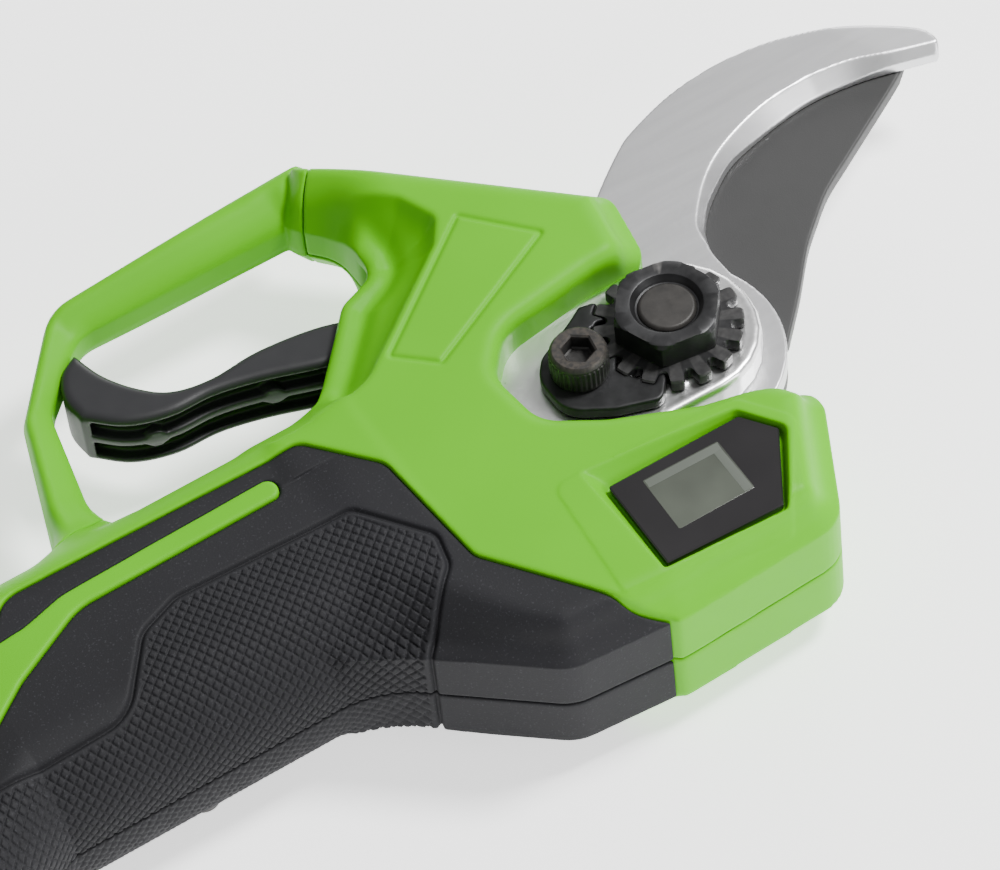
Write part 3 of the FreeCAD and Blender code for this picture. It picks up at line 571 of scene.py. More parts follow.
PAD = [
    (-160.0, -20.6, 1), (-160.0, -80.0, 1), (-70.4, -80.0, 1), (-70.4, -36.5, 3), (-57.6, -24.2, 4),
    (-56.3, -18.0, 3), (-65.4, -5.4, 3), (-97.6, -4.0, 6), (-105.5, -7.0, 6), (-115.0, -19.3, 9)]
TRIGGER_ROOM = [
    (-30, 24, 1), (-30, 41, 1), (-36, 46, 1), (-60, 46, 1), (-60, 24, 1), (-48, 22, 1)]
BLADE_ROOM = [(-8, -21, 1), (30, -21, 1), (30, 35.5, 1), (4.5, 35.5, 1), (-14, 21, 1)]
HUB_ROOM, CAP_ROOM = 12.6, 11.0         # radii kept free round the pivot
SCREWS = [(-14.0, 42.0), (-37.0, -29.0), (-62.0, -26.0), (-106.0, -20.3)]
BUTTON_AT = (-124.0, -6.0)              # the power button, on the underside
POST, SCREW_HEAD, SCREW_SHANK = 4.2, 3.05, 1.6          # radii round a housing screw
RUBBER_DEEP = 2.4                       # from the rubber's outer face to its seat
WALL = 4.2                              # from the outer face to the hollow inside
GAP = 0.06                              # half the line left between two mouldings
PALM, FINGER, GRIP_HALF = -28.5, 18.7, 17.4             # y of the handle's sides, half thickness
PALM_ROUND, FINGER_ROUND = 15.0, 9.5
FOOT_START, FOOT_END = -132.0, -150.0
FOOT_PALM, FOOT_FINGER, FOOT_HALF, FOOT_ROUND = -37.0, 27.0, 16.5, 8.0
MOUTH_AT, MOUTH_HALF, MOUTH_TALL = -5.0, 24.0, 12.5     # the foot's opening: middle y, half width, height
PALM_BEND, PALM_TURN = -13.5, 16.5      # y where the palm side begins to round, and its radius
KNURL_PITCH = 1.46
KNURL_ROWS, KNURL_COLUMNS = (0.857, 0.515), (-0.629, 0.777)
GUARD_TOP = 9.9                         # height of the bar above the parting plane
LOWER_GUARD = 2.3                       # how much thinner the guard is below it
UNDERCUT_FROM, UNDERCUT = 0.6, 0.6      # inward lean of its front end below that plane: start, slope


def grip_section(grid):
    """Distance to the handle, which flares into its foot; z is the height above the parting plane."""
    share = np.clip((FOOT_START - grid.x) / (FOOT_START - FOOT_END), 0, 1)
    palm = PALM + share * (FOOT_PALM - PALM)
    finger = FINGER + share * (FOOT_FINGER - FINGER)
    half = GRIP_HALF + share * (FOOT_HALF - GRIP_HALF)
    middle = (palm + finger) / 2
    radius = np.where(grid.y < middle, PALM_ROUND, FINGER_ROUND)
    radius = radius + share * (FOOT_ROUND - radius)
    across = np.abs(grid.y - middle) - (finger - palm) / 2 + radius
    upward = grid.z - half + radius
    section = np.hypot(np.maximum(across, 0), np.maximum(upward, 0))
    section = section + np.minimum(np.maximum(across, upward), 0)
    section = section - radius
    ends = np.maximum(grid.x + 56.0, FOOT_END - grid.x)
    return smooth_max(section, ends, 0.8)


GUARD = [
    (-30.0, 69.9, 0.5), (-35.2, 69.9, 2.5), (-83.5, 67.4, 9), (-98.5, 49.0, 7), (-104.8, 30.0, 16),
    (-108.5, 12.0, 1), (-95.0, 12.0, 1), (-97.2, 29.0, 10), (-93.0, 49.5, 7), (-81.0, 60.6, 7),
    (-37.6, 60.1, 0.5)]
GUARD_INSIDE = [(-97.2, 20.0), (-96.9, 29.0), (-93.0, 48.5), (-82.0, 60.4), (-41.0, 60.1)]
SEAM = (-0.72, 0.69, 67.0)              # the guard's front end face: a x + b y = c
ROOT_SEAM = (22.0, 0.42, 102.0)         # its back end face: y = a + b (x + c)
GUARD_BACK = -110.4                     # x where the guard's moulding ends


def top_height(grid, low):
    """Height of the top face above the parting plane: it falls away towards the guard."""
    end = GUARD_TOP - low
    start, stop = (8.0, 33.0) if low else (24.0, 46.0)
    fall = (HALF - end) * fade(-grid.x, start, stop) * fade(grid.y, 40.0, 52.0)
    return HALF - fall - 1.4 * fade(-grid.x, 46.0, 88.0) * (fall > 4.0)


def guard_form(grid, low=0.0):
    """The bar and loop; its inner top edge is rounded away."""
    plan = grid.outline(GUARD)
    top = GUARD_TOP - low - 1.4 * fade(-grid.x, 46.0, 92.0)
    inner = grid.distance_to(GUARD_INSIDE)
    top = top - (2.8 + low) * (1 - fade(inner, 0.0, 7.0))
    drop = np.maximum(grid.z - 4.6, 0) * 0.3
    if low:
        lean = np.maximum(grid.z - UNDERCUT_FROM, 0) * UNDERCUT
        drop = drop + lean * (1 - fade(-grid.x, 50.0, 85.0))
    return smooth_max(plan + drop, grid.z - top, 2.0)


def body_form(grid, outline, low=0.0):
    """Outer form of one half: drafted body block, thinner trigger hood, handle and guard."""
    plan = grid.outline(outline)
    drop = np.maximum(grid.z - 5.5, 0) * 0.385
    rise = fade(grid.z, 4.0, 7.0)
    side = (plan + drop) * (1 - 0.066 * rise)
    ridge = grid.outline(RIDGE)
    top = grid.z - top_height(grid, low)
    slope = ridge * 0.86 + top * 0.5
    shoulder = 3.0 + 13.0 * fade(-grid.x, 48.0, 74.0) * (grid.y < 5.0)
    thick = smooth_max(smooth_max(side, top, shoulder), slope, 0.5)
    hood_top = 9.6 - 1.7 * np.exp(-((plan + 4.5) / 2.0) ** 2)
    seam_side = fade(grid.y - 0.5 * grid.x, 62.0, 71.0)
    hood_top = hood_top + seam_side * (1.4 - 1.15 * np.clip(plan, -7.0, 0.0) - hood_top)
    undercut = np.maximum(grid.z - UNDERCUT_FROM, 0) * UNDERCUT * seam_side * (low > 0)
    thin = smooth_max(plan + undercut, grid.z - hood_top, 2.4)
    body = np.maximum(smooth_min(thick, thin, 6.5), plan + undercut)
    whole = smooth_min(body, grip_section(grid), 3.6)
    blend = 0.7 + 1.8 * fade(-grid.x, 45.0, 62.0) + 7.0 * fade(-grid.x, 88.0, 98.0)
    whole = smooth_min(whole, guard_form(grid, low), blend)
    return smooth_max(whole, top, 0.9)


def seam(grid):
    """Negative within the guard's end faces."""
    a, b, c = SEAM
    front = c - a * grid.x - b * grid.y
    a, b, c = ROOT_SEAM
    return np.maximum(np.maximum(front, a + b * (grid.x + c) - grid.y), GUARD_BACK - grid.x)


def knurl(grid):
    """Raised squares in a diagonal grid, unrolled round the palm side; 0 in the grooves, 1 on top."""
    turn = np.arctan2(np.maximum(PALM_BEND - grid.y, 0), np.maximum(grid.z, 0.01))
    along = np.where(grid.y > PALM_BEND, grid.y, PALM_BEND - PALM_TURN * turn)
    a = (grid.x * KNURL_ROWS[0] + along * KNURL_ROWS[1]) / KNURL_PITCH
    b = (grid.x * KNURL_COLUMNS[0] + along * KNURL_COLUMNS[1]) / KNURL_PITCH
    a = np.abs(a - np.floor(a) - 0.5)
    b = np.abs(b - np.floor(b) - 0.5)
    return 1 - fade(np.maximum(a, b), 0.33, 0.48)


def hollow(form, grid):
    """The inside, open at the foot for the battery contacts."""
    mouth = np.maximum(np.abs(grid.y - MOUTH_AT) - MOUTH_HALF, grid.z - MOUTH_TALL)
    mouth = np.maximum(mouth, grid.x + 141.0)
    room = np.maximum(form + WALL, 2.8 - grid.outline(NOTCH))
    return np.minimum(room, mouth)


def trigger_room(grid):
    return np.maximum(grid.outline(TRIGGER_ROOM), grid.z - 6.6)


def green_half(grid, form, zone):
    """The green moulding: full outside, lowered where rubber covers it, hollow inside."""
    shell = smooth_max(form, smooth_min(-zone, form + RUBBER_DEEP, 0.5), 0.7)
    shell = np.maximum(shell, -hollow(form, grid))
    shell = smooth_max(shell, -trigger_room(grid), 0.8)
    return smooth_max(shell, GAP - grid.z, 0.35)


def rubber_half(grid, form, zone):
    """The rubber moulding with its outline groove and knurled pad."""
    pad = grid.outline(PAD)
    relief = 0.5 + 0.75 * np.exp(-(pad / 0.42) ** 2)
    relief = relief + 0.34 * (1 - knurl(grid)) * fade(-pad, 1.1, 1.4)
    face = form + relief
    rubber = smooth_max(face, zone + 2 * GAP, 0.6)
    rubber = np.maximum(rubber, -(form + RUBBER_DEEP))
    return smooth_max(rubber, 2 * GAP - grid.z, 0.5)


def upper_half():
    grid = Grid((-151.5, -53.5, -1.2), (15.5, 71.5, 19.2), cell(FINE))
    form = body_form(grid, BODY)
    zone = np.maximum(grid.outline(RUBBER), -grid.outline(STRIPE) - 30 * (grid.z < 8))
    panel = np.abs(grid.outline(PANEL))
    form_cut = form + 0.55 * np.exp(-(panel / 0.36) ** 2)
    form_cut = form_cut - 0.14 * fade(-grid.outline(PLATEAU), -0.25, 0.25)
    shell = green_half(grid, form_cut, zone)
    shell = smooth_max(shell, GAP - seam(grid), 0.35)
    shell = smooth_max(shell, -grid.outline(NOTCH), 3.4)
    share = np.clip((grid.z - 15.2) / 2.6, 0, 1)
    well = grid.outline(GLASS_EDGE) * (1 - share) + grid.outline(RECESS) * share
    well = np.maximum(well, 15.3 - grid.z)
    shell = smooth_max(shell, -well, 0.5)
    screen = np.maximum(grid.outline(GLASS_EDGE) + 1.6, 8.0 - grid.z)
    shell = np.maximum(shell, -screen)
    blade_room = np.maximum(grid.outline(BLADE_ROOM), grid.z - 4.3)
    shell = np.maximum(shell, -blade_room)
    field_piece("upper_shell_skin", "housing", "green_plastic", grid, shell, GREEN,
                replaces=["upper_shell"])
    near = Grid((-149.0, -53.5, -1.0), (-29.5, 13.5, 18.2), cell(0.21))
    form = body_form(near, BODY)
    zone = np.maximum(near.outline(RUBBER), -near.outline(STRIPE) - 30 * (near.z < 8))
    rubber = rubber_half(near, form, zone)
    field_piece("upper_cover_skin", "housing", "grip_rubber", near, rubber, RUBBER_BLACK,
                replaces=["upper_grip_cover"])


def lower_half():
    grid = Grid((-151.5, -53.5, -1.2), (18.0, 71.5, 19.2), cell(PLAIN))
    form = body_form(grid, LOWER_BODY, LOWER_GUARD)
    zone = grid.outline(RUBBER)
    shell = green_half(grid, form, zone)
    shell = smooth_max(shell, GAP - seam(grid), 0.35)
    z = grid.z
    pivot = grid.radial((0, 0))
    shell = np.maximum(shell, -np.maximum(grid.outline(BLADE_ROOM), z - 4.0))
    shell = np.maximum(shell, -np.maximum(pivot - HUB_ROOM, z - 15.6))
    shell = smooth_max(shell, CAP_ROOM - pivot, 0.6)
    for spot in SCREWS:
        radial = grid.radial(spot)
        post = np.maximum(np.maximum(radial - POST, form + RUBBER_DEEP), GAP - z)
        shell = np.minimum(shell, post)
        shell = smooth_max(shell, -np.maximum(radial - SCREW_HEAD, 13.0 - z), 0.4)
        shell = np.maximum(shell, SCREW_SHANK - radial)
    shell = np.maximum(shell, 4.6 - grid.radial(BUTTON_AT))
    field_piece("lower_shell_skin", "housing", "green_plastic", grid, shell, GREEN, flip=True,
                replaces=["lower_shell"])
    near = Grid((-149.0, -53.5, -1.0), (-29.5, 13.5, 18.2), cell(0.32))
    form = body_form(near, LOWER_BODY, LOWER_GUARD)
    rubber = rubber_half(near, form, near.outline(RUBBER))
    for spot, hole in [(BUTTON_AT, 4.7)] + [(screw, 3.2) for screw in SCREWS]:
        rubber = smooth_max(rubber, hole - near.radial(spot), 0.4)
    field_piece("lower_cover_skin", "housing", "grip_rubber", near, rubber, RUBBER_BLACK, flip=True,
                replaces=["lower_grip_cover"])


# ---------------------------------------------------------------- trigger guard and trigger

TRIGGER_HALF = 6.25
TRIGGER_PIN = (-38.0, 31.0)


def trigger_guard():
    """The bar and loop in front of the trigger, one moulding cut off at the two seams."""
    grid = Grid((-111.0, 15.5, -9.0), (-28.0, 72.5, 15.5), cell(0.4))
    below = grid.z < 0
    height = grid.z
    grid.z = np.abs(height)
    upper, lower = body_form(grid, BODY), body_form(grid, LOWER_BODY, LOWER_GUARD)
    form = np.where(below, lower, upper)
    edge = 0.12 * np.exp(-(height / 0.4) ** 2)
    field = smooth_max(form + edge, seam(grid) + GAP, 0.4)
    field_piece("trigger_guard_skin", "housing", "green_plastic", grid, field, GREEN,
                replaces=["trigger_guard"])


TRIGGER_FRONT = [(-83.8, 57.2), (-81.9, 50.6), (-78.4, 44.9), (-73.9, 40.9), (-67.0, 39.4), (-57.6, 39.9),
                 (-46.0, 38.2), (-36.5, 34.2)]
TRIGGER_BACK = [(-36.5, 27.8), (-48.9, 30.2), (-60.0, 34.1), (-68.5, 36.2), (-76.6, 36.6), (-84.0, 39.3),
                (-89.6, 44.6)]


TRIGGER_TIP = [(-83.8, 57.2), (-87.6, 54.8), (-89.9, 50.0), (-89.6, 44.6)]
TRIGGER_EYE = [(-36.5, 27.8), (-34.6, 31.0), (-36.5, 34.2)]


def trigger_outline():
    return np.vstack((curve(TRIGGER_FRONT[::-1], 6), curve(TRIGGER_TIP, 4),
                      curve(TRIGGER_BACK[::-1], 6), curve(TRIGGER_EYE, 4)))


def trigger():
    """A curved lever; its back has two channels, the rib between them and two round posts."""
    grid = Grid((-92.0, 26.0, -7.6), (-33.0, 59.0, 7.6), cell(0.33))
    plan = grid.outline([tuple(p) for p in trigger_outline()])
    field = smooth_max(plan, np.abs(grid.z) - TRIGGER_HALF, 1.7)
    back = grid.distance_to(curve(TRIGGER_BACK, 6))
    inside_ends = smooth_max(-(grid.x + 88.3), grid.x + 49.0, 1.0)
    channel = smooth_max(np.abs(np.abs(grid.z) - 2.75) - 1.85, back - 2.3, 0.5)
    field = smooth_max(field, -smooth_max(channel, inside_ends, 0.6), 0.6)
    for x, y in ((-79.4, 37.6), (-58.4, 34.6)):
        post = smooth_max(np.hypot(grid.x - x, grid.z) - 1.9, np.abs(grid.y - y) - 1.9, 0.5)
        field = smooth_min(field, np.maximum(post, plan), 0.4)
    pin = grid.radial(TRIGGER_PIN)
    field = np.maximum(field, 1.65 - pin)
    field = np.maximum(field, -np.maximum(pin - 3.6, 2.4 - grid.z))
    field_piece("trigger_skin", "trigger", "black_plastic", grid, field, BLACK, replaces=["trigger"])


# ---------------------------------------------------------------- blades

HOOK_LOW, HOOK_HIGH = 18.0, 22.0
BLADE_LOW, BLADE_HIGH = 14.95, 17.95
HOOK_HUB, BLADE_HUB = 19.6, 19.5
SCREW_AT = (-17.5, 0.0)                 # the lock screw, through plate and hook
SCREW_HOLE = 3.05
DRIVE_PINS, DRIVE_CIRCLE, DRIVE_PIN = (200, 80, 320), 9.0, 1.5  # degrees, radius to them, their radius


def hook():
    """The fixed hook: satin upper face and a ground hollow on its inner, concave side."""
    grid = Grid((-22.0, -21.5, 17.2), (77.5, 51.0, 22.8), cell(0.34))
    outer = curve([(-9.0, 21.0), (-2.0, 27.0), (4.5, 32.6), (8.4, 36.4), (16.0, 42.2), (20.7, 44.8),
                   (30.7, 48.0), (40.7, 49.0), (50.7, 48.1), (60.7, 45.0), (66.0, 42.2), (71.4, 38.3),
                   (74.7, 35.2), (75.7, 32.6), (75.4, 30.6), (74.4, 29.7)], 5)
    inner = curve([(74.4, 29.7), (69.3, 31.2), (62.0, 33.2), (55.3, 34.2), (50.7, 34.4), (45.3, 33.9),
                   (38.7, 32.6), (32.0, 30.6), (26.7, 27.2), (22.7, 23.8), (19.7, 19.8), (17.6, 14.6),
                   (17.75, 8.3)], 5)
    hub = arc_points(HOOK_HUB, 25, -198, 60)
    outline = [tuple(p) for p in np.vstack((outer[:-1], inner, hub))][::-1]
    plan = grid.outline(outline)
    flat_edge = curve([(74.9, 31.6), (67.4, 33.7), (60.7, 36.2), (54.0, 37.3), (50.7, 37.4), (44.0, 36.9),
                       (37.4, 35.2), (30.7, 32.4), (25.4, 28.7), (20.7, 23.7), (18.4, 20.0), (17.7, 15.0)], 5)
    region = np.vstack((flat_edge, [(18.3, 10.0), (30.0, 10.0), (80.0, 10.0), (80.0, 31.6)]))
    grind = grid.outline([tuple(p) for p in region][::-1])
    depth = np.clip(-grind, 0, 4.0)
    top = HOOK_HIGH - 0.95 * depth
    field = smooth_max(plan, grid.z - top, 0.16)
    field = smooth_max(field, HOOK_LOW - grid.z, 0.3)
    tip = (grid.x - 61.0) * 0.9 + (grid.y - 44.0) * 0.44
    facet = grid.z - HOOK_HIGH + 0.035 * np.maximum(tip, 0)
    field = smooth_max(field, facet, 0.1)
    field = np.maximum(field, 5.05 - grid.radial((0, 0)))
    field = np.maximum(field, SCREW_HOLE - grid.radial(SCREW_AT))
    field_piece("hook_skin", "housing", "hook_steel", grid, field, HOOK_STEEL, heights=False,
                replaces=["hook_blade"])


def cutting_blade():
    """The moving blade: coated faces, a bevel ground along the cutting edge."""
    grid = Grid((-20.5, -21.0, 14.2), (72.5, 40.0, 18.7), cell(0.34))
    spine = curve([(70.5, 33.2), (65.0, 29.8), (56.3, 24.8), (49.5, 20.9), (43.0, 17.1), (38.0, 13.0),
                   (33.0, 8.4), (26.3, 0.8), (21.0, -4.7), (19.2, -6.6)], 5)
    hub = arc_points(BLADE_HUB, -22, -215, 60)
    edge = curve([polar(BLADE_HUB, 70), (12.0, 20.6), (18.0, 24.2), (24.0, 29.0), (31.0, 33.0), (40.0, 36.3),
                  (49.0, 37.8), (60.0, 36.6), (70.5, 33.2)], 5)
    outline = [tuple(p) for p in np.vstack((spine[:-1], hub, edge[:-1]))][::-1]
    plan = grid.outline(outline)
    to_edge = grid.distance_to(edge)
    bevel = np.maximum(2.6 - to_edge, 0) * 0.85
    field = smooth_max(plan, BLADE_LOW + bevel - grid.z, 0.12)
    field = smooth_max(field, grid.z - BLADE_HIGH, 0.35)
    field = np.maximum(field, 6.55 - grid.radial((0, 0)))
    for angle in DRIVE_PINS:
        field = np.maximum(field, DRIVE_PIN - grid.radial(polar(DRIVE_CIRCLE, angle)))
    field_piece("cutting_blade_skin", "blade", "coated_steel", grid, field, COATED, heights=False,
                replaces=["cutting_blade"])


# ---------------------------------------------------------------- head plate and blade lock

PLATE = [
    (15.5, -14.8, 14.6), (15.5, 14.8, 14.6), (-19.0, 14.6, 4), (-27.0, 17.0, 3), (-46.0, 17.0, 3),
    (-46.0, -21.0, 3), (-27.0, -21.0, 3), (-19.0, -14.6, 4)]


def head_plate():
    """The cast plate with its rounded lip, and the bearing block below it."""
    grid = Grid((-47.0, -22.0, 5.2), (16.5, 18.2, 28.8), cell(0.36))
    plan = grid.outline(PLATE)
    rim = fade(-plan, 0.3, 2.0)
    top = 28.0 - 0.25 * rim * fade(np.hypot(grid.x + 4.0, grid.y * 1.4) - 15.2, -0.4, 0.5)
    field = smooth_max(smooth_max(plan, grid.z - top, 1.8), 22.0 - grid.z, 0.4)
    bearing = np.maximum(np.maximum(np.abs(grid.x + 40.0) - 6.0, np.abs(grid.y) - 12.0),
                         np.maximum(6.0 - grid.z, grid.z - 23.0))
    field = smooth_min(field, bearing, 1.2)
    field = smooth_max(field, 5.06 - grid.radial((0, 0)), 0.3)
    field = smooth_max(field, 3.06 - grid.radial(SCREW_AT), 0.3)
    axis = np.hypot(grid.y, grid.z - PARTING)
    field = np.maximum(field, -np.maximum(axis - 9.52, grid.x + 37.0))
    field = np.maximum(field, -np.maximum(axis - 7.8, grid.x + 31.0))
    field_piece("head_plate_skin", "housing", "cast_aluminium", grid, field, CAST, heights=False,
                replaces=["head_casting"])


WASHER_TEETH = 16
WASHER_TURN = 8.0


def washer_line(shrink=0.0):
    """Outline of the toothed washer: rounded gaps between broad teeth."""
    points = []
    step = 360.0 / WASHER_TEETH
    tip, root = 12.8 - shrink, 10.5 - shrink
    half_gap = (
        (0.0, root), (0.06, root + 0.05), (0.12, root + 0.2), (0.175, root + 0.5), (0.205, root + 0.9),
        (0.225, tip - 0.8), (0.245, tip - 0.38), (0.275, tip - 0.1), (0.32, tip))
    for tooth in range(WASHER_TEETH):
        start = WASHER_TURN + tooth * step
        points += [polar(radius, start + share * step) for share, radius in half_gap]
        points.append(polar(tip, start + 0.5 * step))
        points += [polar(radius, start + (1 - share) * step) for share, radius in half_gap[:0:-1]]
    return np.array(points)


def lock_washer():
    """The toothed washer, a ring with small chamfers."""
    levels = [(washer_line(shrink), height)
              for shrink, height in ((0.25, 28.02), (0.0, 28.25), (0.0, 30.2), (0.28, 30.48))]
    line = washer_line()
    hole = polar(5.06, np.degrees(np.arctan2(line[:, 1], line[:, 0])))
    vertices, faces = stack(levels + [(hole, levels[-1][1]), (hole, levels[0][1])], ring=True)
    sharpen(piece("lock_washer_skin", "housing", "black_oxide", vertices, faces, OXIDE,
                  replaces=["lock_washer"]))


NUT_FLATS = 17.0
NUT_TURN = 52.0


def hexagon(across, corner_cut, turn, count):
    """A hexagon whose corners are turned down to a circle: radius as a function of angle."""
    angles = np.linspace(0, 360, count, endpoint=False)
    local = np.radians((angles - turn) % 60 - 30)
    flat = across / 2 / np.cos(local)
    return polar(np.minimum(flat, corner_cut), angles)


def nut():
    """The pivot nut: turned corners, a shallow dish round the bolt end."""
    full = NUT_FLATS / 2 / math.cos(math.radians(30))
    levels = [(full - 0.5, 30.52), (full - 0.1, 30.9), (full - 0.1, 34.7), (full - 0.3, 35.1),
              (full - 0.8, 35.7), (full - 1.15, 35.85)]
    count = 96
    outside = [(hexagon(NUT_FLATS, corner, NUT_TURN, count), height) for corner, height in levels]
    dish = [(circle(radius, count), height) for radius, height in (
        (6.5, 35.85), (6.2, 35.75), (5.75, 35.0), (5.4, 34.5), (5.04, 34.4), (5.04, 30.52))]
    vertices, faces = stack(outside + dish, ring=True)
    sharpen(piece("pivot_nut_skin", "housing", "black_oxide", vertices, faces, OXIDE,
                  replaces=["pivot_nut"]), 24)


def turned(name, body, slot, profile, material, replaces, middle=(0.0, 0.0), count=72):
    """A turned piece from a profile of (radius, z), bottom first."""
    vertices, faces = stack([(circle(radius, count, middle), height) for radius, height in profile])
    return sharpen(piece(name, body, slot, vertices, faces, material, replaces=replaces), 30)


def bolt():
    """The pivot bolt with a plain round head below, its hex socket not drawn, and a chamfered end in the nut.
    """
    turned("pivot_bolt_skin", "housing", "black_oxide",
           [(8.6, 3.2), (9.0, 3.6), (9.0, 7.0), (5.0, 7.0), (5.0, 34.55), (4.75, 34.95), (4.5, 35.1),
            (4.3, 35.12), (1.2, 35.02)], BOLT_END, replaces=["pivot_bolt"])


SCREW_RIBS = 36
RIB_LOW, RIB_HIGH, RIB_DEPTH = 31.3, 35.3, 0.09


def lock_screw():
    """A socket head screw: straight knurl on its side, chamfered top and a hex socket."""
    count = SCREW_RIBS * 6
    angles = np.linspace(0, 360, count, endpoint=False)
    outer = [(3.0, 22.6), (3.0, 30.52), (4.7, 30.52), (4.92, 30.8), (4.92, 31.2), (5.0, 31.4), (5.0, 33.0),
             (5.0, 35.2), (4.9, 35.4), (4.9, 35.7), (4.55, 36.35), (4.35, 36.5)]
    levels = []
    for radius, height in outer:
        ribs = RIB_DEPTH * np.cos(np.radians(angles * SCREW_RIBS)) * (RIB_LOW < height < RIB_HIGH)
        levels.append((SCREW_AT + polar(radius + ribs, angles), height))
    for across, height in [(2.95, 36.5), (2.62, 36.2), (2.62, 33.6), (2.3, 33.4)]:
        levels.append((SCREW_AT + hexagon(2 * across * 0.96, 2 * across, 22.0, count), height))
    vertices, faces = stack(levels)
    sharpen(piece("lock_screw_skin", "housing", "black_oxide", vertices, faces, SCREW_STEEL,
                  replaces=["lock_screw"]), 28)


def lock_plate():
    """An ear round the screw and two wings, with hooked teeth in three gaps of the washer."""
    grid = Grid((-27.0, -17.0, 27.6), (-3.0, 16.5, 30.9), cell(0.2))
    ear = [(-21.4, 6.0, 4), (-13.6, 9.8, 2), (-10.6, 11.6, 1.2), (-8.0, 11.0, 1.4), (-6.4, 8.2, 0.8),
           (-8.6, 6.8, 0.6), (-10.4, 7.2, 1), (-11.0, 4.6, 2), (-11.6, 1.6, 1), (-9.6, 0.5, 0.6),
           (-11.4, -1.6, 1.2), (-12.4, -3.0, 1), (-11.2, -5.6, 1.5), (-10.0, -7.6, 1), (-8.0, -6.6, 0.6),
           (-5.9, -7.0, 0.8), (-6.6, -9.6, 1.5), (-9.2, -12.9, 2.2), (-16.8, -10.2, 4),
           (-24.2, -5.6, 6), (-24.2, 2.6, 6)]
    plan = grid.outline(ear[::-1])
    washer = grid.outline([tuple(p) for p in washer_line(-0.2)])
    field = np.maximum(plan, -washer)
    field = smooth_max(field, grid.z - 30.46, 0.5)
    field = smooth_max(field, 28.03 - grid.z, 0.3)
    field = np.maximum(field, SCREW_HOLE - grid.radial(SCREW_AT))
    field_piece("lock_plate_skin", "housing", "black_oxide", grid, field, OXIDE, heights=False,
                replaces=["lock_plate"])


# ---------------------------------------------------------------- display


def display():
    """A dark window with a step round it and the crystal panel under the glass."""
    edge = rounded(GLASS_EDGE)
    vertices, faces = stack([(offset(edge, 0.35), 33.62), (offset(edge, 0.30), 34.2),
                             (offset(edge, 0.30), 34.8), (offset(edge, 0.55), 35.0)])
    sharpen(piece("display_window_skin", "housing", "display_black", vertices, faces, GLASS,
                  replaces=["display_window"]), 30)
    panel = [(-22.9, -28.2, 0.3), (-23.2, -39.8, 0.3), (-8.6, -39.8, 0.3), (-8.5, -28.5, 0.3)]
    points = rounded(panel)
    vertices, faces = stack([(offset(points, 0.0), 35.0), (offset(points, 0.0), 35.03),
                             (offset(points, 0.05), 35.05)])
    sharpen(piece("crystal_panel", "housing", "display_grey", vertices, faces, CRYSTAL), 20)
    bands = [[(-22.6, -28.4), (-22.7, -30.0), (-8.8, -30.3), (-8.7, -28.7)],
             [(-10.3, -30.2), (-10.4, -39.6), (-8.8, -39.6), (-8.8, -30.2)]]
    for index, corners in enumerate(bands, start=1):
        points = np.array(corners)
        vertices, faces = stack([(points, 35.05), (points, 35.065), (offset(points, 0.04), 35.07)])
        band = piece("crystal_band_%d" % index, "housing", "display_grey", vertices, faces, BAND)
        sharpen(band, 20)


# ---------------------------------------------------------------- battery, latch, button, cap

PACK = [(-231.0, -38.6, 9), (-151.0, -38.6, 2), (-151.0, 28.6, 2), (-231.0, 28.6, 9)]
PACK_HALF = 15.5                        # its outline and half thickness
PACK_INSIDE = [(-229.0, -36.6, 7), (-153.0, -36.6, 0.5), (-153.0, 26.6, 0.5), (-229.0, 26.6, 7)]
PACK_PANEL = [(-224.0, -30.0, 5), (-178.0, -30.0, 5), (-178.0, 20.0, 5), (-224.0, 20.0, 5)]
LATCH_AT = -163.5
LATCH_EDGE = [(-169.7, -13.0, 1.2), (-157.3, -13.0, 1.2), (-157.3, 3.0, 1.2), (-169.7, 3.0, 1.2)]


def block(x, y, z, middle, half):
    """Distance to a box, within half of its middle along each axis."""
    return np.maximum(np.maximum(np.abs(x - middle[0]) - half[0], np.abs(y - middle[1]) - half[1]),
                      np.abs(z - middle[2]) - half[2])


def battery():
    """The pack: bevelled case halves with a seam, ribbed sides and a raised panel's groove."""
    for flip in (False, True):
        grid = Grid((-232.0, -39.6, -1.2), (-150.0, 29.6, 16.4), cell(0.5))
        x, y, z = grid.x, grid.y, grid.z
        plan = grid.outline(PACK)
        drop = np.maximum(z - 10.0, 0) * 0.64
        field = smooth_max(plan + drop, z - PACK_HALF, 1.6)
        ribs = 0.35 * (0.5 + 0.5 * np.cos(2 * np.pi * x / 3.2)) * fade(-np.abs(x + 200.0), -24.0, -22.0)
        field = field + ribs * fade(plan + 1.2, 0.0, 0.6) * fade(-np.abs(z - 6.0), -3.8, -3.2)
        field = field + 0.5 * np.exp(-(grid.outline(PACK_PANEL) / 0.5) ** 2) * (z > 13)
        field = np.maximum(field, -np.maximum(grid.outline(PACK_INSIDE), z - 13.3))
        field = np.maximum(field, -block(x, y, z, (-151.0, -4.0, 0.0), (4.0, 16.0, 8.0)))
        if not flip:
            field = np.maximum(field, -block(x, y, z, (LATCH_AT, -5.0, 14.0), (6.5, 8.3, 3.0)))
        field = smooth_max(field, GAP - z, 0.4)
        side = "lower" if flip else "upper"
        field_piece("battery_%s_skin" % side, "battery", "black_plastic", grid, field, BLACK, flip=flip,
                    replaces=["battery_case_%s" % side])


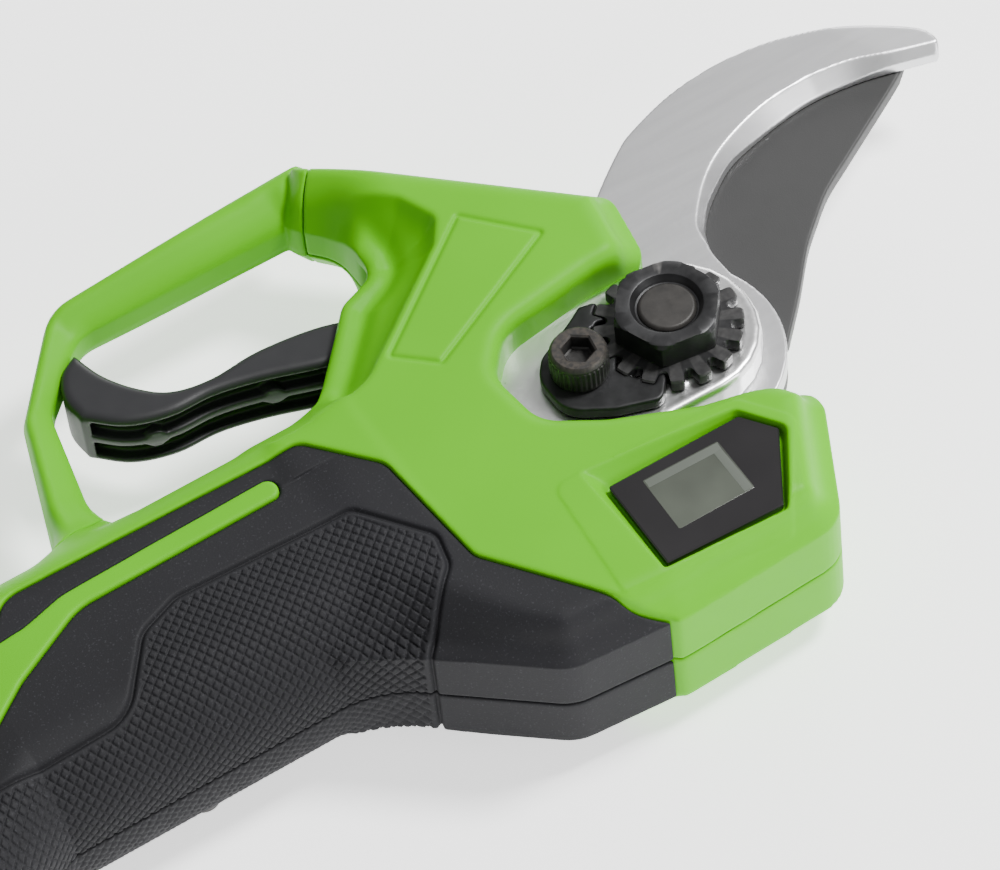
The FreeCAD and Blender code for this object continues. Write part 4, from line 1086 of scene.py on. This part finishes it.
def latch():
    """A push button with three finger ridges on its face."""
    grid = Grid((-170.4, -13.8, 29.6), (-156.4, 3.8, 34.8), cell(0.25))
    plan = grid.outline(LATCH_EDGE)
    ridge = 0.45 * fade(np.cos(2 * np.pi * (grid.x - LATCH_AT) / 3.0), 0.2, 0.9) * fade(-plan, 1.0, 1.6)
    field = smooth_max(plan, grid.z - 33.5 - ridge, 0.8)
    field = smooth_max(field, 30.3 - grid.z, 0.4)
    field_piece("battery_latch_skin", "latch", "black_plastic", grid, field, LATCH, heights=False,
                replaces=["battery_latch"])


def button():
    """The power button: a dished cap with a raised ring."""
    turned("power_button_skin", "button", "black_plastic",
           [(5.2, 6.1), (5.3, 5.9), (5.3, 5.4), (4.4, 5.3), (4.4, 1.6), (4.1, 1.2), (3.6, 1.1), (3.2, 1.15),
            (2.8, 1.45), (1.2, 1.6)][::-1], BLACK, replaces=["power_button"], middle=BUTTON_AT)


def pivot_cap():
    """The steel cap on the underside, with a turned groove and a shallow dish."""
    turned("pivot_cap_skin", "housing", "bearing_steel",
           [(3.0, 0.55), (7.0, 0.4), (7.5, 0.05), (10.3, 0.0), (10.9, 0.5), (10.9, 3.0), (9.6, 3.0),
            (9.6, 1.6)], STEEL, replaces=["pivot_cap"], count=96)


def bolt_end_material():
    nodes = Nodes("bolt_end", (0.024, 0.022, 0.020), 0.5, metallic=0.3)
    nodes.vary_colour(nodes.noise(500.0), 0.8, 1.4)
    nodes.vary_roughness(nodes.noise(900.0), 0.42, 0.62)
    nodes.bump(nodes.noise(1800.0), 0.00002, 0.5)
    nodes.edge_wear((0.2, 0.19, 0.18))
    return nodes.material


def screw_material():
    """Black oxide worn to brown on the top of the screw head."""
    nodes = Nodes("worn_screw", (0.03, 0.029, 0.028), 0.45, metallic=0.5)
    nodes.vary_colour(nodes.noise(700.0), 0.7, 1.5)
    height = nodes.add("ShaderNodeSeparateXYZ")
    nodes.link(nodes.place, height.inputs["Vector"])
    top = nodes.add("ShaderNodeMapRange", clamp=True)
    top.inputs["From Min"].default_value = 0.0352
    top.inputs["From Max"].default_value = 0.0365
    nodes.link(height.outputs["Z"], top.inputs["Value"])
    patches = nodes.add("ShaderNodeMath", operation="MULTIPLY")
    nodes.link(top.outputs["Result"], patches.inputs[0])
    worn = nodes.ramp(nodes.noise(1200.0, 4.0), [(0.4, (0.1, 0.1, 0.1)), (0.62, (1, 1, 1))])
    nodes.link(worn, patches.inputs[1])
    nodes.mix_colour(patches.outputs["Value"], (0.062, 0.054, 0.046))
    nodes.bump(nodes.noise(2500.0), 0.00001, 0.5)
    nodes.edge_wear((0.22, 0.2, 0.18))
    return nodes.material


BOLT_END = bolt_end_material()
SCREW_STEEL = screw_material()
BAND = moulded("crystal_band", (0.10, 0.112, 0.095), 0.3)
LATCH = moulded("latch_plastic", (0.055, 0.055, 0.058), 0.45)


def finish_nodes():
    """Procedural materials on the CAD nodes that stay as they are."""
    finishes = {
        "housing_screw": OXIDE, "pivot_bush": BRONZE, "thrust_washer": STEEL, "pinion_bearing": STEEL,
        "gearbox_ring": GEAR, "motor_can": MOTOR, "motor_stator": MOTOR, "motor_bearing": STEEL,
        "trigger_pin": STEEL, "trigger_spring": STEEL, "control_board": BOARD, "battery_contact": CONTACT,
        "contact_block": BLACK, "display_module": BLACK, "display_board": BOARD, "blade_gear": GEAR,
        "drive_pin": STEEL, "pinion_shaft": GEAR, "planet_pin": STEEL, "planet_gear": GEAR,
        "rotor_shaft": STEEL, "motor_rotor": MOTOR, "sun_gear": GEAR, "battery_cell": WRAP,
        "battery_board": BOARD}
    for name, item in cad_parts.items():
        for start, material in finishes.items():
            if name.startswith(start):
                for slot in item.material_slots:
                    slot.material = material


# ---------------------------------------------------------------- studio and camera

PAPER_GLOW = 1.3
WORLD_LIGHT = 0.42
LAMPS = [                               # name, place in metres, size, watts
    ("overhead", (0.55, -0.1, 1.0), 0.3, 20.0),
    ("front", (0.5, -0.9, 0.45), 0.5, 5.0),
    ("behind", (0.75, 0.9, 0.5), 0.5, 4.0),
]


def studio():
    floor_mesh = bpy.data.meshes.new("floor")
    reach = 6.0
    floor_mesh.from_pydata([(-reach, -reach, 0), (reach, -reach, 0), (reach, reach, 0), (-reach, reach, 0)],
                           [], [(0, 1, 2, 3)])
    floor = bpy.data.objects.new("floor", floor_mesh)
    bpy.context.scene.collection.objects.link(floor)
    paper = Nodes("paper", (0.95, 0.95, 0.95), 0.9, specular=0.1)
    paper.vary_colour(paper.noise(2.0), 0.995, 1.0)
    paper.shader.inputs["Emission Color"].default_value = (1, 1, 1, 1)
    paper.shader.inputs["Emission Strength"].default_value = PAPER_GLOW
    floor_mesh.materials.append(paper.material)
    floor.location.z = -0.0002
    world = bpy.data.worlds.new("studio")
    world.use_nodes = True
    world.node_tree.nodes["Background"].inputs["Color"].default_value = (1, 1, 1, 1)
    world.node_tree.nodes["Background"].inputs["Strength"].default_value = WORLD_LIGHT
    bpy.context.scene.world = world
    for name, place, size, power in LAMPS:
        lamp = bpy.data.lights.new(name, "AREA")
        lamp.shape = "DISK"
        lamp.size = size
        lamp.energy = power
        item = bpy.data.objects.new(name, lamp)
        item.location = place
        item.rotation_euler = (Vector((-0.03, 0, 0.02)) - Vector(place)).to_track_quat("-Z", "Y").to_euler()
        bpy.context.scene.collection.objects.link(item)


# The camera stands at the photograph's viewing angle.
CAMERA_AT = Vector((-0.29755, -0.54086, 0.82353))
AZIMUTH, ELEVATION, ROLL = math.radians(-26.0), math.radians(53.0), math.radians(-7.3)
LENS = 216.0                            # on a 36 mm wide sensor


def camera():
    turn = Matrix.Rotation(AZIMUTH, 3, "Z")
    ahead = turn @ Vector((0, math.cos(ELEVATION), -math.sin(ELEVATION)))
    right = turn @ Vector((1, 0, 0))
    up = right.cross(ahead)
    rolled_right = math.cos(ROLL) * right + math.sin(ROLL) * up
    rolled_up = -math.sin(ROLL) * right + math.cos(ROLL) * up
    data = bpy.data.cameras.new("camera")
    data.sensor_width = 36.0
    data.lens = LENS
    data.clip_start = 0.05
    item = bpy.data.objects.new("camera", data)
    axes = Matrix((rolled_right, rolled_up, -ahead)).transposed()
    item.matrix_world = Matrix.Translation(CAMERA_AT) @ axes.to_4x4()
    bpy.context.scene.collection.objects.link(item)
    bpy.context.scene.camera = item


# ---------------------------------------------------------------- build

upper_half()
lower_half()
trigger_guard()
trigger()
hook()
cutting_blade()
head_plate()
lock_washer()
nut()
bolt()
lock_screw()
lock_plate()
display()
battery()
latch()
button()
pivot_cap()
finish_nodes()
studio()
camera()
